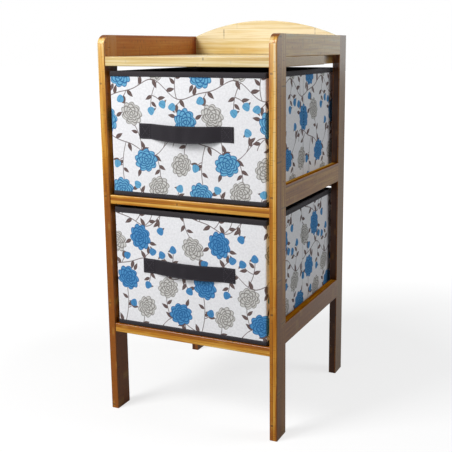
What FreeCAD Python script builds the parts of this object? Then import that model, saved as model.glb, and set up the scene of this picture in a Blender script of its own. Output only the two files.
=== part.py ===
import FreeCAD, Part
import os
import Sketcher

# Bamboo drawer unit: two ladder frames joined by a shelf, an arched back board and four
# crossbars, with two fold-flat cloth drawers that slide out to the front.
# Origin: middle of the unit's footprint, straps included, on the floor.
# X to the right, Y to the back, Z up.

doc = FreeCAD.newDocument("BambooDrawerUnit")
sheet = doc.addObject("Spreadsheet::Sheet", "Sizes")

SIZES = [
    # overall size of the wooden unit
    ("frame_width", 355.0, "across both side frames"),
    ("frame_depth", 370.0, "front of front stile to back of rear stile"),
    ("frame_high", 725.0, "floor to top of side frames"),
    # side frames
    ("board_thick", 15.0, "thickness of stiles and side rails"),
    ("stile_wide", 40.0, "front to back width of a stile"),
    ("rail_high", 39.0, "height of a side rail"),
    ("corner_round", 20.0, "radius of the front top corner of a frame"),
    ("arris_round", 1.5, "softened long edges of the sticks"),
    ("rail_drop", 4.0, "side rail's underside below its drawer floor"),
    # shelf, crossbars, runners
    ("lower_floor", 177.0, "height on which the lower drawer sits"),
    ("upper_floor", 430.0, "height on which the upper drawer sits"),
    ("front_setback", 1.5, "shelf and crossbars behind the stiles' faces"),
    ("shelf_thick", 17.0, "thickness of the top shelf"),
    ("shelf_ear_long", 195.0, "front to back length of the shelf's ears"),
    ("bar_high", 17.0, "height of a crossbar"),
    ("bar_deep", 30.0, "front to back width of a crossbar"),
    ("runner_wide", 20.0, "width of a runner strip"),
    ("runner_thick", 12.0, "height of a runner strip"),
    # arched back board
    ("arch_rise", 32.0, "arch above the side frames' top"),
    ("back_thick", 12.0, "thickness of the back board"),
    ("back_inset", 9.0, "back board in front of the frames' rear face"),
    # dowels and cam fittings
    ("dowel_dia", 8.0, "frame and shelf dowels"),
    ("dowel_long", 30.0, "length of a frame dowel"),
    ("dowel_pitch", 18.0, "distance between two dowels of one rail end"),
    ("shelf_dowel_long", 28.0, "length of a dowel at the shelf's ends"),
    ("pin_dia", 6.0, "small dowels of crossbars, runners and back board"),
    ("pin_long", 20.0, "length of a small dowel"),
    ("inner_bore_deep", 10.0, "depth of bores into a stile's inner face"),
    ("bore_fit", 0.1, "radial clearance of dowels, bolts and cams"),
    ("bore_end", 0.5, "spare depth past the end of a dowel"),
    ("cam_dia", 15.0, "diameter of a cam"),
    ("cam_high", 13.0, "height of a cam"),
    ("cam_inset", 24.0, "cam's axis from the end of its board"),
    ("bolt_dia", 6.0, "shank of a cam bolt"),
    ("bolt_head_dia", 7.0, "head of a cam bolt"),
    ("bolt_head_long", 3.0, "length of a cam bolt's head"),
    ("cam_slot_wide", 1.6, "screwdriver slot of a cam"),
    # cloth drawers
    ("drawer_side_gap", 5.5, "between a drawer and the stiles beside it"),
    ("drawer_setback", 4.0, "drawer's front behind the stiles' faces"),
    ("drawer_rear_set", 14.0, "drawer's rear in front of the frames' rear face"),
    ("drawer_high", 230.0, "height of a drawer"),
    ("seat_gap", 0.3, "running gap under a drawer"),
    ("tape_thick", 0.8, "binding tape"),
    ("rim_band", 9.5, "height of the rim binding"),
    ("hem_band", 9.0, "height of the hem binding"),
    ("cloth_thick", 1.0, "outer cloth"),
    ("stiffener_thick", 2.5, "boards in the drawer's walls"),
    ("lining_thick", 0.6, "inner cloth"),
    ("fold_gap", 1.0, "between neighbouring wall boards"),
    ("crease_gap", 4.0, "between the two halves of a side wall"),
    ("base_board_thick", 3.0, "loose base board"),
    ("base_board_gap", 0.7, "round the loose base board"),
    # strap handles
    ("strap_long", 190.0, "end to end, as sewn on"),
    ("strap_wide", 28.0, "width of the webbing"),
    ("strap_thick", 2.0, "thickness of the webbing"),
    ("strap_tab", 25.0, "sewn length at each end"),
    ("strap_rise", 123.0, "strap's middle above the drawer's underside"),
    ("upper_strap_bow", 12.0, "finger gap behind the upper strap"),
    ("lower_strap_bow", 7.0, "finger gap behind the lower strap"),
]


class Size:
    """A length that knows its value and the sheet formula that it comes from."""

    def __init__(self, value, text):
        self.value = float(value)
        self.text = text

    @staticmethod
    def of(other):
        return other if isinstance(other, Size) else Size(other, repr(float(other)))

    def _join(self, sign, other, value):
        return Size(value, "(" + self.text + " " + sign + " " + other.text + ")")

    def __add__(self, other):
        other = Size.of(other)
        return self._join("+", other, self.value + other.value)

    def __sub__(self, other):
        other = Size.of(other)
        return self._join("-", other, self.value - other.value)

    def __mul__(self, other):
        other = Size.of(other)
        return self._join("*", other, self.value * other.value)

    def __truediv__(self, other):
        other = Size.of(other)
        return self._join("/", other, self.value / other.value)

    def __radd__(self, other):
        return Size.of(other) + self

    def __rsub__(self, other):
        return Size.of(other) - self

    def __rmul__(self, other):
        return Size.of(other) * self

    def __neg__(self):
        return Size.of(0) - self


class Sheet:
    """Driving sizes, one attribute for each alias of the spreadsheet."""


dim = Sheet()
for row, (alias, number, note) in enumerate(SIZES, start=1):
    sheet.set("A%d" % row, note)
    sheet.set("B%d" % row, repr(number))
    sheet.setAlias("B%d" % row, alias)
    setattr(dim, alias, Size(number, "Sizes." + alias))
doc.recompute()

ZERO = Size.of(0)
CUT_OVER = Size.of(1)

# Places that several pieces share
half_wide = dim.frame_width / 2
strap_proud = (
    dim.upper_strap_bow + dim.strap_thick - dim.tape_thick - dim.drawer_setback
)
front_y = (strap_proud - dim.frame_depth) / 2
rear_y = front_y + dim.frame_depth
inner_x = half_wide - dim.board_thick
shelf_top = dim.frame_high - dim.rail_high
shelf_under = shelf_top - dim.shelf_thick
bar_front = front_y + dim.front_setback
bar_rear = rear_y - dim.front_setback
back_front = rear_y - dim.back_inset - dim.back_thick
floors = {"lower": dim.lower_floor, "upper": dim.upper_floor}
rail_unders = {
    "bottom": dim.lower_floor - dim.rail_drop,
    "mid": dim.upper_floor - dim.rail_drop,
    "top": shelf_top,
}
dowel_bore = dim.dowel_dia / 2 + dim.bore_fit
pin_bore = dim.pin_dia / 2 + dim.bore_fit

DIRECTIONS = {
    "+x": FreeCAD.Rotation(FreeCAD.Vector(0, 1, 0), 90),
    "-x": FreeCAD.Rotation(FreeCAD.Vector(0, 1, 0), -90),
    "+y": FreeCAD.Rotation(FreeCAD.Vector(1, 0, 0), -90),
    "-y": FreeCAD.Rotation(FreeCAD.Vector(1, 0, 0), 90),
    "+z": FreeCAD.Rotation(FreeCAD.Vector(0, 0, 1), 90),
}

nodes = []
places = {}


def bind(thing, prop, length):
    """Ties one property of an object to a sheet formula."""
    thing.setExpression(prop, Size.of(length).text)


def put(thing, place, rotation=None):
    """Ties an object's position to three sheet formulas, and turns it."""
    places[thing.Name] = [Size.of(part) for part in place]
    base = FreeCAD.Vector(*[Size.of(part).value for part in place])
    thing.Placement = FreeCAD.Placement(base, rotation or FreeCAD.Rotation())
    for letter, part in zip("xyz", place):
        bind(thing, "Placement.Base." + letter, part)


def node(thing, label):
    """Marks an object as a sub-part and names it."""
    thing.Label = label
    nodes.append(thing)
    return thing


# Plain solids


def box(low, high):
    """A block between two corners."""
    block = doc.addObject("Part::Box", "Block")
    for prop, start, end in zip(("Length", "Width", "Height"), low, high):
        bind(block, prop, Size.of(end) - start)
    put(block, low)
    return block


def rod(place, direction, radius, length):
    """A cylinder that starts at a place and runs in one direction."""
    cylinder = doc.addObject("Part::Cylinder", "Rod")
    bind(cylinder, "Radius", radius)
    bind(cylinder, "Height", length)
    put(cylinder, place, DIRECTIONS[direction])
    return cylinder


def cut(base, tool):
    result = doc.addObject("Part::Cut", "Cut")
    result.Base = base
    result.Tool = tool
    return result


def fuse(first, second):
    result = doc.addObject("Part::Fuse", "Fuse")
    result.Base = first
    result.Tool = second
    return result


def group(things, label):
    """Identical fasteners in one node, each its own solid."""
    result = doc.addObject("Part::Compound", "Group")
    result.Links = things
    return node(result, label)


# Wooden pieces


def origin_plane(body, role):
    return [p for p in body.Origin.OriginFeatures if p.Role == role][0]


def outline(body, role, corners, arcs=None):
    """A closed sketch through corners. Where arcs has an entry, the side after that corner
    is an arc: hollow or not, and its radius."""
    arcs = arcs or {}
    sketch = body.newObject("Sketcher::SketchObject", "Outline")
    sketch.AttachmentSupport = [(origin_plane(body, role), "")]
    sketch.MapMode = "FlatFace"
    points = [
        FreeCAD.Vector(Size.of(a).value, Size.of(b).value, 0) for a, b in corners
    ]
    count = len(points)
    starts = []
    ends = []
    for i, start in enumerate(points):
        end = points[(i + 1) % count]
        if i not in arcs:
            side = sketch.addGeometry(Part.LineSegment(start, end), False)
            starts.append((side, 1))
            ends.append((side, 2))
            continue
        hollow, length = arcs[i]
        radius = length.value
        first, last = (end, start) if hollow else (start, end)
        chord = last - first
        across = FreeCAD.Vector(-chord.y, chord.x, 0).normalize()
        rise = (radius**2 - (chord.Length / 2) ** 2) ** 0.5
        middle = (start + end) / 2 + across * rise
        circle = Part.Circle(middle, FreeCAD.Vector(0, 0, 1), radius)
        arc = Part.ArcOfCircle(circle, circle.parameter(first), circle.parameter(last))
        side = sketch.addGeometry(arc, False)
        starts.append((side, 2 if hollow else 1))
        ends.append((side, 1 if hollow else 2))
        rule = sketch.addConstraint(Sketcher.Constraint("Radius", side, radius))
        bind(sketch, "Constraints[%d]" % rule, length)
    for i in range(count):
        following = starts[(i + 1) % count]
        sketch.addConstraint(Sketcher.Constraint("Coincident", *ends[i], *following))
    for (side, end), point, corner in zip(starts, points, corners):
        for kind, value, place in (
            ("DistanceX", point.x, corner[0]),
            ("DistanceY", point.y, corner[1]),
        ):
            rule = sketch.addConstraint(
                Sketcher.Constraint(kind, -1, 1, side, end, value)
            )
            bind(sketch, "Constraints[%d]" % rule, place)
    return sketch


def pad(body, sketch, length, both_ways=False, backwards=False):
    feature = body.newObject("PartDesign::Pad", "Pad")
    feature.Profile = sketch
    bind(feature, "Length", length)
    feature.Midplane = both_ways
    feature.Reversed = backwards
    return feature


def soften(body, feature, wanted):
    """Rounds the straight edges of a feature that a test picks out."""
    doc.recompute()
    names = [
        "Edge%d" % (i + 1)
        for i, edge in enumerate(feature.Shape.Edges)
        if wanted(edge)
    ]
    fillet = body.newObject("PartDesign::Fillet", "Arrises")
    fillet.Base = (feature, names)
    bind(fillet, "Radius", dim.arris_round)
    doc.recompute()
    return fillet


def runs_along(letter):
    """A test for straight edges that run along one axis."""

    def test(edge):
        if len(edge.Vertexes) != 2 or edge.Curve.TypeId != "Part::GeomLine":
            return False
        return abs(getattr(edge.tangentAt(edge.FirstParameter), letter)) > 0.999

    return test


def stick(label, low, high, along):
    """A straight stick between two corners, its long edges softened. Its body's own
    frame starts at the low corner."""
    body = doc.addObject("PartDesign::Body", "Stick")
    wide = Size.of(high[0]) - low[0]
    deep = Size.of(high[1]) - low[1]
    corners = [(ZERO, ZERO), (wide, ZERO), (wide, deep), (ZERO, deep)]
    blank = pad(body, outline(body, "XY_Plane", corners), Size.of(high[2]) - low[2])
    soften(body, blank, runs_along(along))
    put(body, low)
    return node(body, label)


def bore(body, place, direction, radius, depth):
    """A round blind bore at a place in the part's frame."""
    hole = body.newObject("PartDesign::SubtractiveCylinder", "Bore")
    bind(hole, "Radius", radius)
    bind(hole, "Height", depth)
    own = [place[i] - places[body.Name][i] for i in range(3)]
    put(hole, own, DIRECTIONS[direction])


# Side frames. The left one is at negative X, and inward points from a frame to the middle.


def stile(label, middle_x, at_front):
    """An upright with its foot on the floor; the front one has a rounded top corner.
    Its outline is drawn in the side view and padded both ways from its middle."""
    body = doc.addObject("PartDesign::Body", "Stile")
    wide = dim.stile_wide
    high = dim.frame_high
    turn = dim.corner_round
    if at_front:
        corners = [
            (ZERO, ZERO),
            (wide, ZERO),
            (wide, high),
            (turn, high),
            (ZERO, high - turn),
        ]
        sketch = outline(body, "YZ_Plane", corners, {3: (False, turn)})
    else:
        corners = [(ZERO, ZERO), (wide, ZERO), (wide, high), (ZERO, high)]
        sketch = outline(body, "YZ_Plane", corners)
    blank = pad(body, sketch, dim.board_thick, both_ways=True)
    outer_y = 0.0 if at_front else wide.value
    upright = runs_along("z")

    def on_outer_face(edge):
        return upright(edge) and abs(edge.Vertexes[0].Y - outer_y) < 0.01

    soften(body, blank, on_outer_face)
    put(body, (middle_x, front_y if at_front else rear_y - wide, ZERO))
    return node(body, label)


frames = {}
rail_front = front_y + dim.stile_wide
rail_rear = rear_y - dim.stile_wide
dowel_half = dim.dowel_long / 2
for side, sign in (("left", -1), ("right", 1)):
    middle_x = sign * (half_wide - dim.board_thick / 2)
    low_x = middle_x - dim.board_thick / 2
    high_x = middle_x + dim.board_thick / 2
    front_stile = stile(side + "_front_stile", middle_x, True)
    rear_stile = stile(side + "_rear_stile", middle_x, False)
    frames[side] = {"front": front_stile, "rear": rear_stile}
    dowels = []
    for level, under in rail_unders.items():
        rail = stick(
            side + "_" + level + "_rail",
            (low_x, rail_front, under),
            (high_x, rail_rear, under + dim.rail_high),
            "y",
        )
        for step in (-1, 1):
            height = under + dim.rail_high / 2 + step * dim.dowel_pitch / 2
            depth = dowel_half + dim.bore_end
            for joint_y, upright, into_stile, into_rail, start in (
                (rail_front, front_stile, "-y", "+y", rail_front - dowel_half),
                (rail_rear, rear_stile, "+y", "-y", rail_rear - dowel_half),
            ):
                joint = (middle_x, joint_y, height)
                bore(upright, joint, into_stile, dowel_bore, depth)
                bore(rail, joint, into_rail, dowel_bore, depth)
                place = (middle_x, start, height)
                dowels.append(rod(place, "+y", dim.dowel_dia / 2, dim.dowel_long))
    group(dowels, side + "_frame_dowels")


# What joins the two frames: shelf, crossbars and arched back board

shelf_dowels = []
crossbar_pins = []
cam_bolts = []
cams = []
bolt_bore = dim.bolt_dia / 2 + dim.bore_fit
head_bore = dim.bolt_head_dia / 2 + dim.bore_fit * 2
cam_bore = dim.cam_dia / 2 + dim.bore_fit
cam_bore_high = dim.cam_high + dim.bore_end


def peg(board, upright, sign, y, z, thick, length, pegs):
    """A dowel or pin that joins a board's end to the inner face of a stile."""
    outward, inward = ("+x", "-x") if sign > 0 else ("-x", "+x")
    joint = (sign * inner_x, y, z)
    hole = thick / 2 + dim.bore_fit
    board_depth = length - dim.inner_bore_deep + dim.bore_end * 2
    bore(upright, joint, outward, hole, dim.inner_bore_deep)
    bore(board, joint, inward, hole, board_depth)
    middle = sign * (inner_x + dim.inner_bore_deep - dim.bore_end - length / 2)
    pegs.append(rod((middle - length / 2, y, z), "+x", thick / 2, length))


def cam_joint(board, upright, sign, y, under, middle_z):
    """A cam bolt in the stile and a cam let into the board from below. The cam's pocket
    takes the bolt's head, and its slot takes a screwdriver."""
    outward, inward = ("+x", "-x") if sign > 0 else ("-x", "+x")
    joint = (sign * inner_x, y, middle_z)
    cam_x = sign * (inner_x - dim.cam_inset)
    bore(upright, joint, outward, bolt_bore, dim.inner_bore_deep)
    bore(board, joint, inward, head_bore, dim.cam_inset)
    bore(board, (cam_x, y, under), "+z", cam_bore, cam_bore_high)
    tip = sign * (inner_x + dim.inner_bore_deep - dim.bore_end)
    shank = rod((tip, y, middle_z), inward, dim.bolt_dia / 2, sign * (tip - cam_x))
    start = cam_x + sign * dim.bolt_head_long / 2
    head = rod((start, y, middle_z), inward, dim.bolt_head_dia / 2, dim.bolt_head_long)
    cam_bolts.append(fuse(shank, head))
    body = rod((cam_x, y, under + dim.bore_fit), "+z", dim.cam_dia / 2, dim.cam_high)
    mouth = rod(
        (cam_x + sign * dim.cam_dia, y, middle_z),
        inward,
        head_bore,
        dim.cam_dia + dim.bolt_head_long,
    )
    slot_half = dim.cam_slot_wide / 2
    slot = box(
        (cam_x - dim.cam_dia / 3, y - slot_half, under),
        (cam_x + dim.cam_dia / 3, y + slot_half, under + dim.cam_slot_wide),
    )
    cams.append(cut(cut(body, mouth), slot))


def shelf_board():
    """The shelf between the frames. From each front stile backwards an ear reaches out
    under the side rail, flush with the rail's outer face."""
    body = doc.addObject("PartDesign::Body", "Shelf")
    near = dim.board_thick
    far = near + inner_x * 2
    deep = bar_rear - bar_front
    ear_start = rail_front - bar_front
    ear_end = ear_start + dim.shelf_ear_long
    outer_x = (0.0, dim.frame_width.value)
    corners = [
        (near, ZERO),
        (far, ZERO),
        (far, ear_start),
        (dim.frame_width, ear_start),
        (dim.frame_width, ear_end),
        (far, ear_end),
        (far, deep),
        (near, deep),
        (near, ear_end),
        (ZERO, ear_end),
        (ZERO, ear_start),
        (near, ear_start),
    ]
    blank = pad(body, outline(body, "XY_Plane", corners), dim.shelf_thick)
    across = runs_along("x")
    lengthwise = runs_along("y")

    def long_or_outer(edge):
        if across(edge):
            return edge.Length > dim.frame_width.value / 2
        return lengthwise(edge) and any(
            abs(edge.Vertexes[0].X - x) < 0.01 for x in outer_x
        )

    soften(body, blank, long_or_outer)
    put(body, (-half_wide, bar_front, shelf_under))
    return node(body, "top_shelf")


shelf = shelf_board()
shelf_middle = shelf_under + dim.shelf_thick / 2
stile_third = dim.stile_wide / 3
for side, sign in (("left", -1), ("right", 1)):
    for row, edge_y, step in (("front", front_y, 1), ("rear", rear_y, -1)):
        upright = frames[side][row]
        bolt_y = edge_y + step * stile_third
        dowel_y = edge_y + step * stile_third * 2
        cam_joint(shelf, upright, sign, bolt_y, shelf_under, shelf_middle)
        peg(
            shelf,
            upright,
            sign,
            dowel_y,
            shelf_middle,
            dim.dowel_dia,
            dim.shelf_dowel_long,
            shelf_dowels,
        )


def crossbar(label, row, edge_y, step, top):
    """A crossbar behind the stiles' faces, with a cam joint and a pin at each end. The
    pin is nearer to the unit's outside, clear of the runners' pins."""
    far_y = edge_y + step * dim.bar_deep
    low_y, high_y = (edge_y, far_y) if step > 0 else (far_y, edge_y)
    under = top - dim.bar_high
    bar = stick(label, (-inner_x, low_y, under), (inner_x, high_y, top), "x")
    middle_z = under + dim.bar_high / 2
    bolt_y = edge_y + step * dim.bar_deep / 2
    pin_y = edge_y + step * dim.bar_deep / 4
    for side, sign in (("left", -1), ("right", 1)):
        upright = frames[side][row]
        cam_joint(bar, upright, sign, bolt_y, under, middle_z)
        peg(
            bar,
            upright,
            sign,
            pin_y,
            middle_z,
            dim.pin_dia,
            dim.pin_long,
            crossbar_pins,
        )
    return bar


crossbars = {}
for level, name in (("upper", "mid"), ("lower", "lower")):
    front_bar = crossbar(
        "front_" + name + "_crossbar", "front", bar_front, 1, floors[level]
    )
    rear_bar = crossbar(
        "rear_" + name + "_crossbar", "rear", bar_rear, -1, floors[level]
    )
    crossbars[level] = (front_bar, rear_bar)


def arched_board():
    """A board with straight sides and a circular arch that starts at the frames' top.
    Its radius follows from half the chord and the rise."""
    body = doc.addObject("PartDesign::Body", "ArchedBoard")
    wide = inner_x * 2
    side_high = dim.rail_high
    radius = (inner_x * inner_x + dim.arch_rise * dim.arch_rise) / (dim.arch_rise * 2)
    corners = [(ZERO, ZERO), (wide, ZERO), (wide, side_high), (ZERO, side_high)]
    sketch = outline(body, "XZ_Plane", corners, {2: (False, radius)})
    blank = pad(body, sketch, dim.back_thick, backwards=True)

    def along_the_arch(edge):
        return edge.Curve.TypeId == "Part::GeomCircle"

    soften(body, blank, along_the_arch)
    put(body, (-inner_x, back_front, shelf_top))
    return node(body, "arched_back_board")


back_board = arched_board()
back_pins = []
back_middle = back_front + dim.back_thick / 2
for side, sign in (("left", -1), ("right", 1)):
    for share in (1, 3):
        height = shelf_top + dim.rail_high * share / 4
        peg(
            back_board,
            frames[side]["rear"],
            sign,
            back_middle,
            height,
            dim.pin_dia,
            dim.pin_long,
            back_pins,
        )


# Runners: one strip on each side under each drawer, pinned between the crossbars

runner_front = bar_front + dim.bar_deep
runner_rear = bar_rear - dim.bar_deep
pin_half = dim.pin_long / 2
runner_pins = []
for level, top in floors.items():
    front_bar, rear_bar = crossbars[level]
    for side, sign in (("left", -1), ("right", 1)):
        middle_x = sign * (inner_x - dim.runner_wide / 2)
        runner = stick(
            level + "_" + side + "_runner",
            (middle_x - dim.runner_wide / 2, runner_front, top - dim.runner_thick),
            (middle_x + dim.runner_wide / 2, runner_rear, top),
            "y",
        )
        height = top - dim.runner_thick / 2
        depth = pin_half + dim.bore_end
        for joint_y, bar, into_bar, into_runner in (
            (runner_front, front_bar, "-y", "+y"),
            (runner_rear, rear_bar, "+y", "-y"),
        ):
            joint = (middle_x, joint_y, height)
            bore(bar, joint, into_bar, pin_bore, depth)
            bore(runner, joint, into_runner, pin_bore, depth)
            place = (middle_x, joint_y - pin_half, height)
            runner_pins.append(rod(place, "+y", dim.pin_dia / 2, dim.pin_long))

group(shelf_dowels, "shelf_dowels")
group(crossbar_pins, "crossbar_pins")
group(cam_bolts, "cam_bolts")
group(cams, "cams")
group(back_pins, "back_board_pins")
group(runner_pins, "runner_pins")


# Cloth drawers

drawer_half = inner_x - dim.drawer_side_gap
drawer_front = front_y + dim.drawer_setback
drawer_rear = rear_y - dim.drawer_rear_set


def walls(inset, low_z, high_z):
    """A block as wide and deep as a drawer less an inset on all four sides."""
    return box(
        (-drawer_half + inset, drawer_front + inset, low_z),
        (drawer_half - inset, drawer_rear - inset, high_z),
    )


def strap_handle(label, under, bow):
    """A strap sewn flat at both ends and bowed between them. Front and back face are arcs
    of one radius, which follows from half the free span and the bow."""
    body = doc.addObject("PartDesign::Body", "Strap")
    thick = dim.strap_thick
    end = dim.strap_long / 2
    sewn = end - dim.strap_tab
    radius = (sewn * sewn + bow * bow) / (bow * 2)
    corners = [
        (-end, -thick),
        (-sewn, -thick),
        (sewn, -thick),
        (end, -thick),
        (end, ZERO),
        (sewn, ZERO),
        (-sewn, ZERO),
        (-end, ZERO),
    ]
    arcs = {1: (False, radius), 5: (True, radius)}
    sketch = outline(body, "XY_Plane", corners, arcs)
    pad(body, sketch, dim.strap_wide)
    place = (
        ZERO,
        drawer_front + dim.tape_thick,
        under + dim.strap_rise - dim.strap_wide / 2,
    )
    put(body, place)
    return node(body, label)


def drawer(level, bow):
    """Cover, boards, lining, bindings, base board and strap of one drawer."""
    under = floors[level] + dim.seat_gap
    rim = under + dim.drawer_high
    name = level + "_drawer_"
    cover_low = under + dim.tape_thick
    cover_floor = cover_low + dim.cloth_thick
    wall_top = rim - dim.tape_thick
    over = wall_top + CUT_OVER
    in_cover = dim.tape_thick + dim.cloth_thick
    in_boards = in_cover + dim.stiffener_thick
    in_lining = in_boards + dim.lining_thick

    cover = cut(
        walls(dim.tape_thick, cover_low, wall_top), walls(in_cover, cover_floor, over)
    )
    node(cover, name + "cover")
    lining_floor = cover_floor + dim.lining_thick
    lining = cut(
        walls(in_boards, cover_floor, wall_top), walls(in_lining, lining_floor, over)
    )
    node(lining, name + "lining")

    side_out = drawer_half - in_cover
    side_in = side_out - dim.stiffener_thick
    front_out = drawer_front + in_cover
    rear_out = drawer_rear - in_cover
    front_in = front_out + dim.stiffener_thick
    rear_in = rear_out - dim.stiffener_thick
    middle_y = (drawer_front + drawer_rear) / 2
    half_crease = dim.crease_gap / 2
    node(
        box((-side_out, front_out, cover_floor), (side_out, front_in, wall_top)),
        name + "front_stiffener",
    )
    node(
        box((-side_out, rear_in, cover_floor), (side_out, rear_out, wall_top)),
        name + "rear_stiffener",
    )
    for side, low_x, high_x in (
        ("left", -side_out, -side_in),
        ("right", side_in, side_out),
    ):
        node(
            box(
                (low_x, front_in + dim.fold_gap, cover_floor),
                (high_x, middle_y - half_crease, wall_top),
            ),
            name + side + "_front_stiffener",
        )
        node(
            box(
                (low_x, middle_y + half_crease, cover_floor),
                (high_x, rear_in - dim.fold_gap, wall_top),
            ),
            name + side + "_rear_stiffener",
        )

    base_inset = in_lining + dim.base_board_gap
    base_board = walls(base_inset, lining_floor, lining_floor + dim.base_board_thick)
    node(base_board, name + "base_board")

    band_low = rim - dim.rim_band
    cap = cut(
        walls(ZERO, band_low, rim), walls(dim.tape_thick, band_low - CUT_OVER, wall_top)
    )
    inner_strip = walls(in_lining, band_low, rim)
    mouth = walls(in_lining + dim.tape_thick, band_low - CUT_OVER, rim + CUT_OVER)
    node(cut(fuse(cap, inner_strip), mouth), name + "rim_binding")

    band_top = under + dim.hem_band
    skirt = cut(
        walls(ZERO, under, band_top),
        walls(dim.tape_thick, cover_low, band_top + CUT_OVER),
    )
    opening = walls(dim.hem_band, under - CUT_OVER, band_top + CUT_OVER)
    node(cut(skirt, opening), name + "hem_binding")

    strap_handle(name + "strap", under, bow)


drawer("upper", dim.upper_strap_bow)
drawer("lower", dim.lower_strap_bow)


# Checks, then one file for each sub-part

doc.recompute()
broken = [o.Name for o in doc.Objects if {"Invalid", "Error"} & set(o.State)]
if broken:
    raise RuntimeError("failed objects: " + ", ".join(broken))
for piece in nodes:
    if piece.Shape.isNull() or not piece.Shape.isValid():
        raise RuntimeError("bad shape: " + piece.Label)

os.makedirs("parts", exist_ok=True)
for piece in nodes:
    piece.Shape.exportStep("parts/" + piece.Label + ".step")
    solids = len(piece.Shape.Solids)
    print("%-40s %2d solid(s) %12.1f mm3" % (piece.Label, solids, piece.Shape.Volume))
print(len(nodes), "nodes")
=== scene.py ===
import math

import bmesh
import bpy
import numpy as np
from bpy.props import FloatProperty, FloatVectorProperty, PointerProperty
from mathutils import Matrix, Vector


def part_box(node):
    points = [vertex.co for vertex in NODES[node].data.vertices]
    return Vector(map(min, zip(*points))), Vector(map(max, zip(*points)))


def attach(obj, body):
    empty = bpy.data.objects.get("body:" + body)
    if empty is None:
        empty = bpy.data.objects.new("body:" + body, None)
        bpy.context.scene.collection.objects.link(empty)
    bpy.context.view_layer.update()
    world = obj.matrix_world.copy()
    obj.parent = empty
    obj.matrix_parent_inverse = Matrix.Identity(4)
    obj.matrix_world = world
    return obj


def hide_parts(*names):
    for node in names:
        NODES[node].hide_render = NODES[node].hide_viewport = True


bl_info = {
    "name": "Bamboo drawer unit",
    "version": (1, 0, 0),
    "blender": (4, 5, 0),
    "location": "View3D > Sidebar > Drawer unit",
    "description": "Finishes, cloth drawers and studio for a bamboo drawer unit",
    "category": "Object",
}

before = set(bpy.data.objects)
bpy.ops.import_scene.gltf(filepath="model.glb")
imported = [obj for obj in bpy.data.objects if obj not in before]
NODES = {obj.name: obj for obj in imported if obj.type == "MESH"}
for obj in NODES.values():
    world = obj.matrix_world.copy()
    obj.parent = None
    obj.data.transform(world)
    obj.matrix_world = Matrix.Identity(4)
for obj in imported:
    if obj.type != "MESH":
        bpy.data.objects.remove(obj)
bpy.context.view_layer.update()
MM = 0.001
LEVELS = ("upper", "lower")


def screen_colour(*screen):
    """A colour written in screen values from 0 to 255, as linear light."""
    parts = [value / 255 for value in screen]
    return tuple(
        part / 12.92 if part <= 0.04045 else ((part + 0.055) / 1.055) ** 2.4 for part in parts
    )


# Settings that a user would change


def colour_setting(name, description, *screen):
    default = screen_colour(*screen)
    return FloatVectorProperty(
        name=name, description=description, default=default, subtype="COLOR", size=3, min=0.0, max=1.0
    )


def length_setting(name, description, default):
    return FloatProperty(
        name=name, description=description, default=default, unit="LENGTH", precision=4
    )


def power_setting(name, description, default):
    return FloatProperty(name=name, description=description, default=default, unit="POWER", min=0.0)


class WoodSettings(bpy.types.PropertyGroup):
    honey: colour_setting("Honey", "Main tone of the sticks", 192, 124, 22)
    straw: colour_setting("Straw", "Palest strips of the sticks", 236, 186, 84)
    amber: colour_setting("Amber", "Darkest strips of the sticks", 148, 82, 10)
    cream: colour_setting("Cream", "Main tone of the shelf and back board", 214, 188, 122)
    ivory: colour_setting("Ivory", "Palest strips of the boards", 230, 214, 172)
    sand: colour_setting("Sand", "Darkest strips of the boards", 196, 156, 76)
    knuckle: colour_setting("Knuckle", "Marks at the cane's nodes", 84, 44, 14)
    # Painted shade: a dull grey-brown that the outer faces of the side frames take in place of their
    # shade and the pale reflection of the room
    skin: colour_setting("Skin", "Outer faces of the side frames", 70, 66, 50)
    # Painted shade with warm bounce light, on the inner faces above the shelf
    inner_shade: colour_setting("Russet", "Inner faces beside the shelf", 158, 70, 0)
    # Painted shade on the outer faces of the rear stiles
    rear_outer_shade: colour_setting("Rind", "Outer faces of the rear stiles", 120, 86, 42)
    beech: colour_setting("Beech", "Dowels and pins", 214, 182, 138)
    strip_wide: length_setting("Strip width", "Width of a glued strip", 0.020)
    strip_thick: length_setting("Strip thickness", "Thickness of a glued strip", 0.005)
    knuckle_pitch: length_setting("Knuckle pitch", "Spacing of the cane's nodes", 0.21)
    fibre_wide: length_setting("Fibre width", "Width of a fibre bundle", 0.0011)


class ClothSettings(bpy.types.PropertyGroup):
    ground: colour_setting("Ground", "Cloth under the print", 244, 244, 247)
    blue: colour_setting("Blue", "Main blossoms and buds", 84, 156, 210)
    blue_ink: colour_setting("Blue ink", "Lines in the blue blossoms", 36, 98, 156)
    # The tone that the blue on a drawer's front is made paler towards
    sky: colour_setting("Sky", "What the blue fades to in daylight", 160, 237, 249)
    grey: colour_setting("Grey", "Pale blossoms", 190, 187, 179)
    grey_ink: colour_setting("Grey ink", "Lines in the pale blossoms", 112, 108, 102)
    leaf: colour_setting("Leaf", "Leaves", 100, 80, 78)
    vine: colour_setting("Vine", "Vines", 108, 92, 90)
    dark: colour_setting("Dark cloth", "Lining and drawer floors", 62, 61, 67)
    tape: colour_setting("Tape", "Binding tape", 36, 31, 34)
    webbing: colour_setting("Webbing", "Strap handles", 21, 15, 22)
    thread: colour_setting("Thread", "Sewing thread", 58, 54, 62)
    tile_wide: length_setting("Print width", "Width of one repeat of the print", 0.166)
    tile_high: length_setting("Print height", "Height of one repeat of the print", 0.212)


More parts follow.
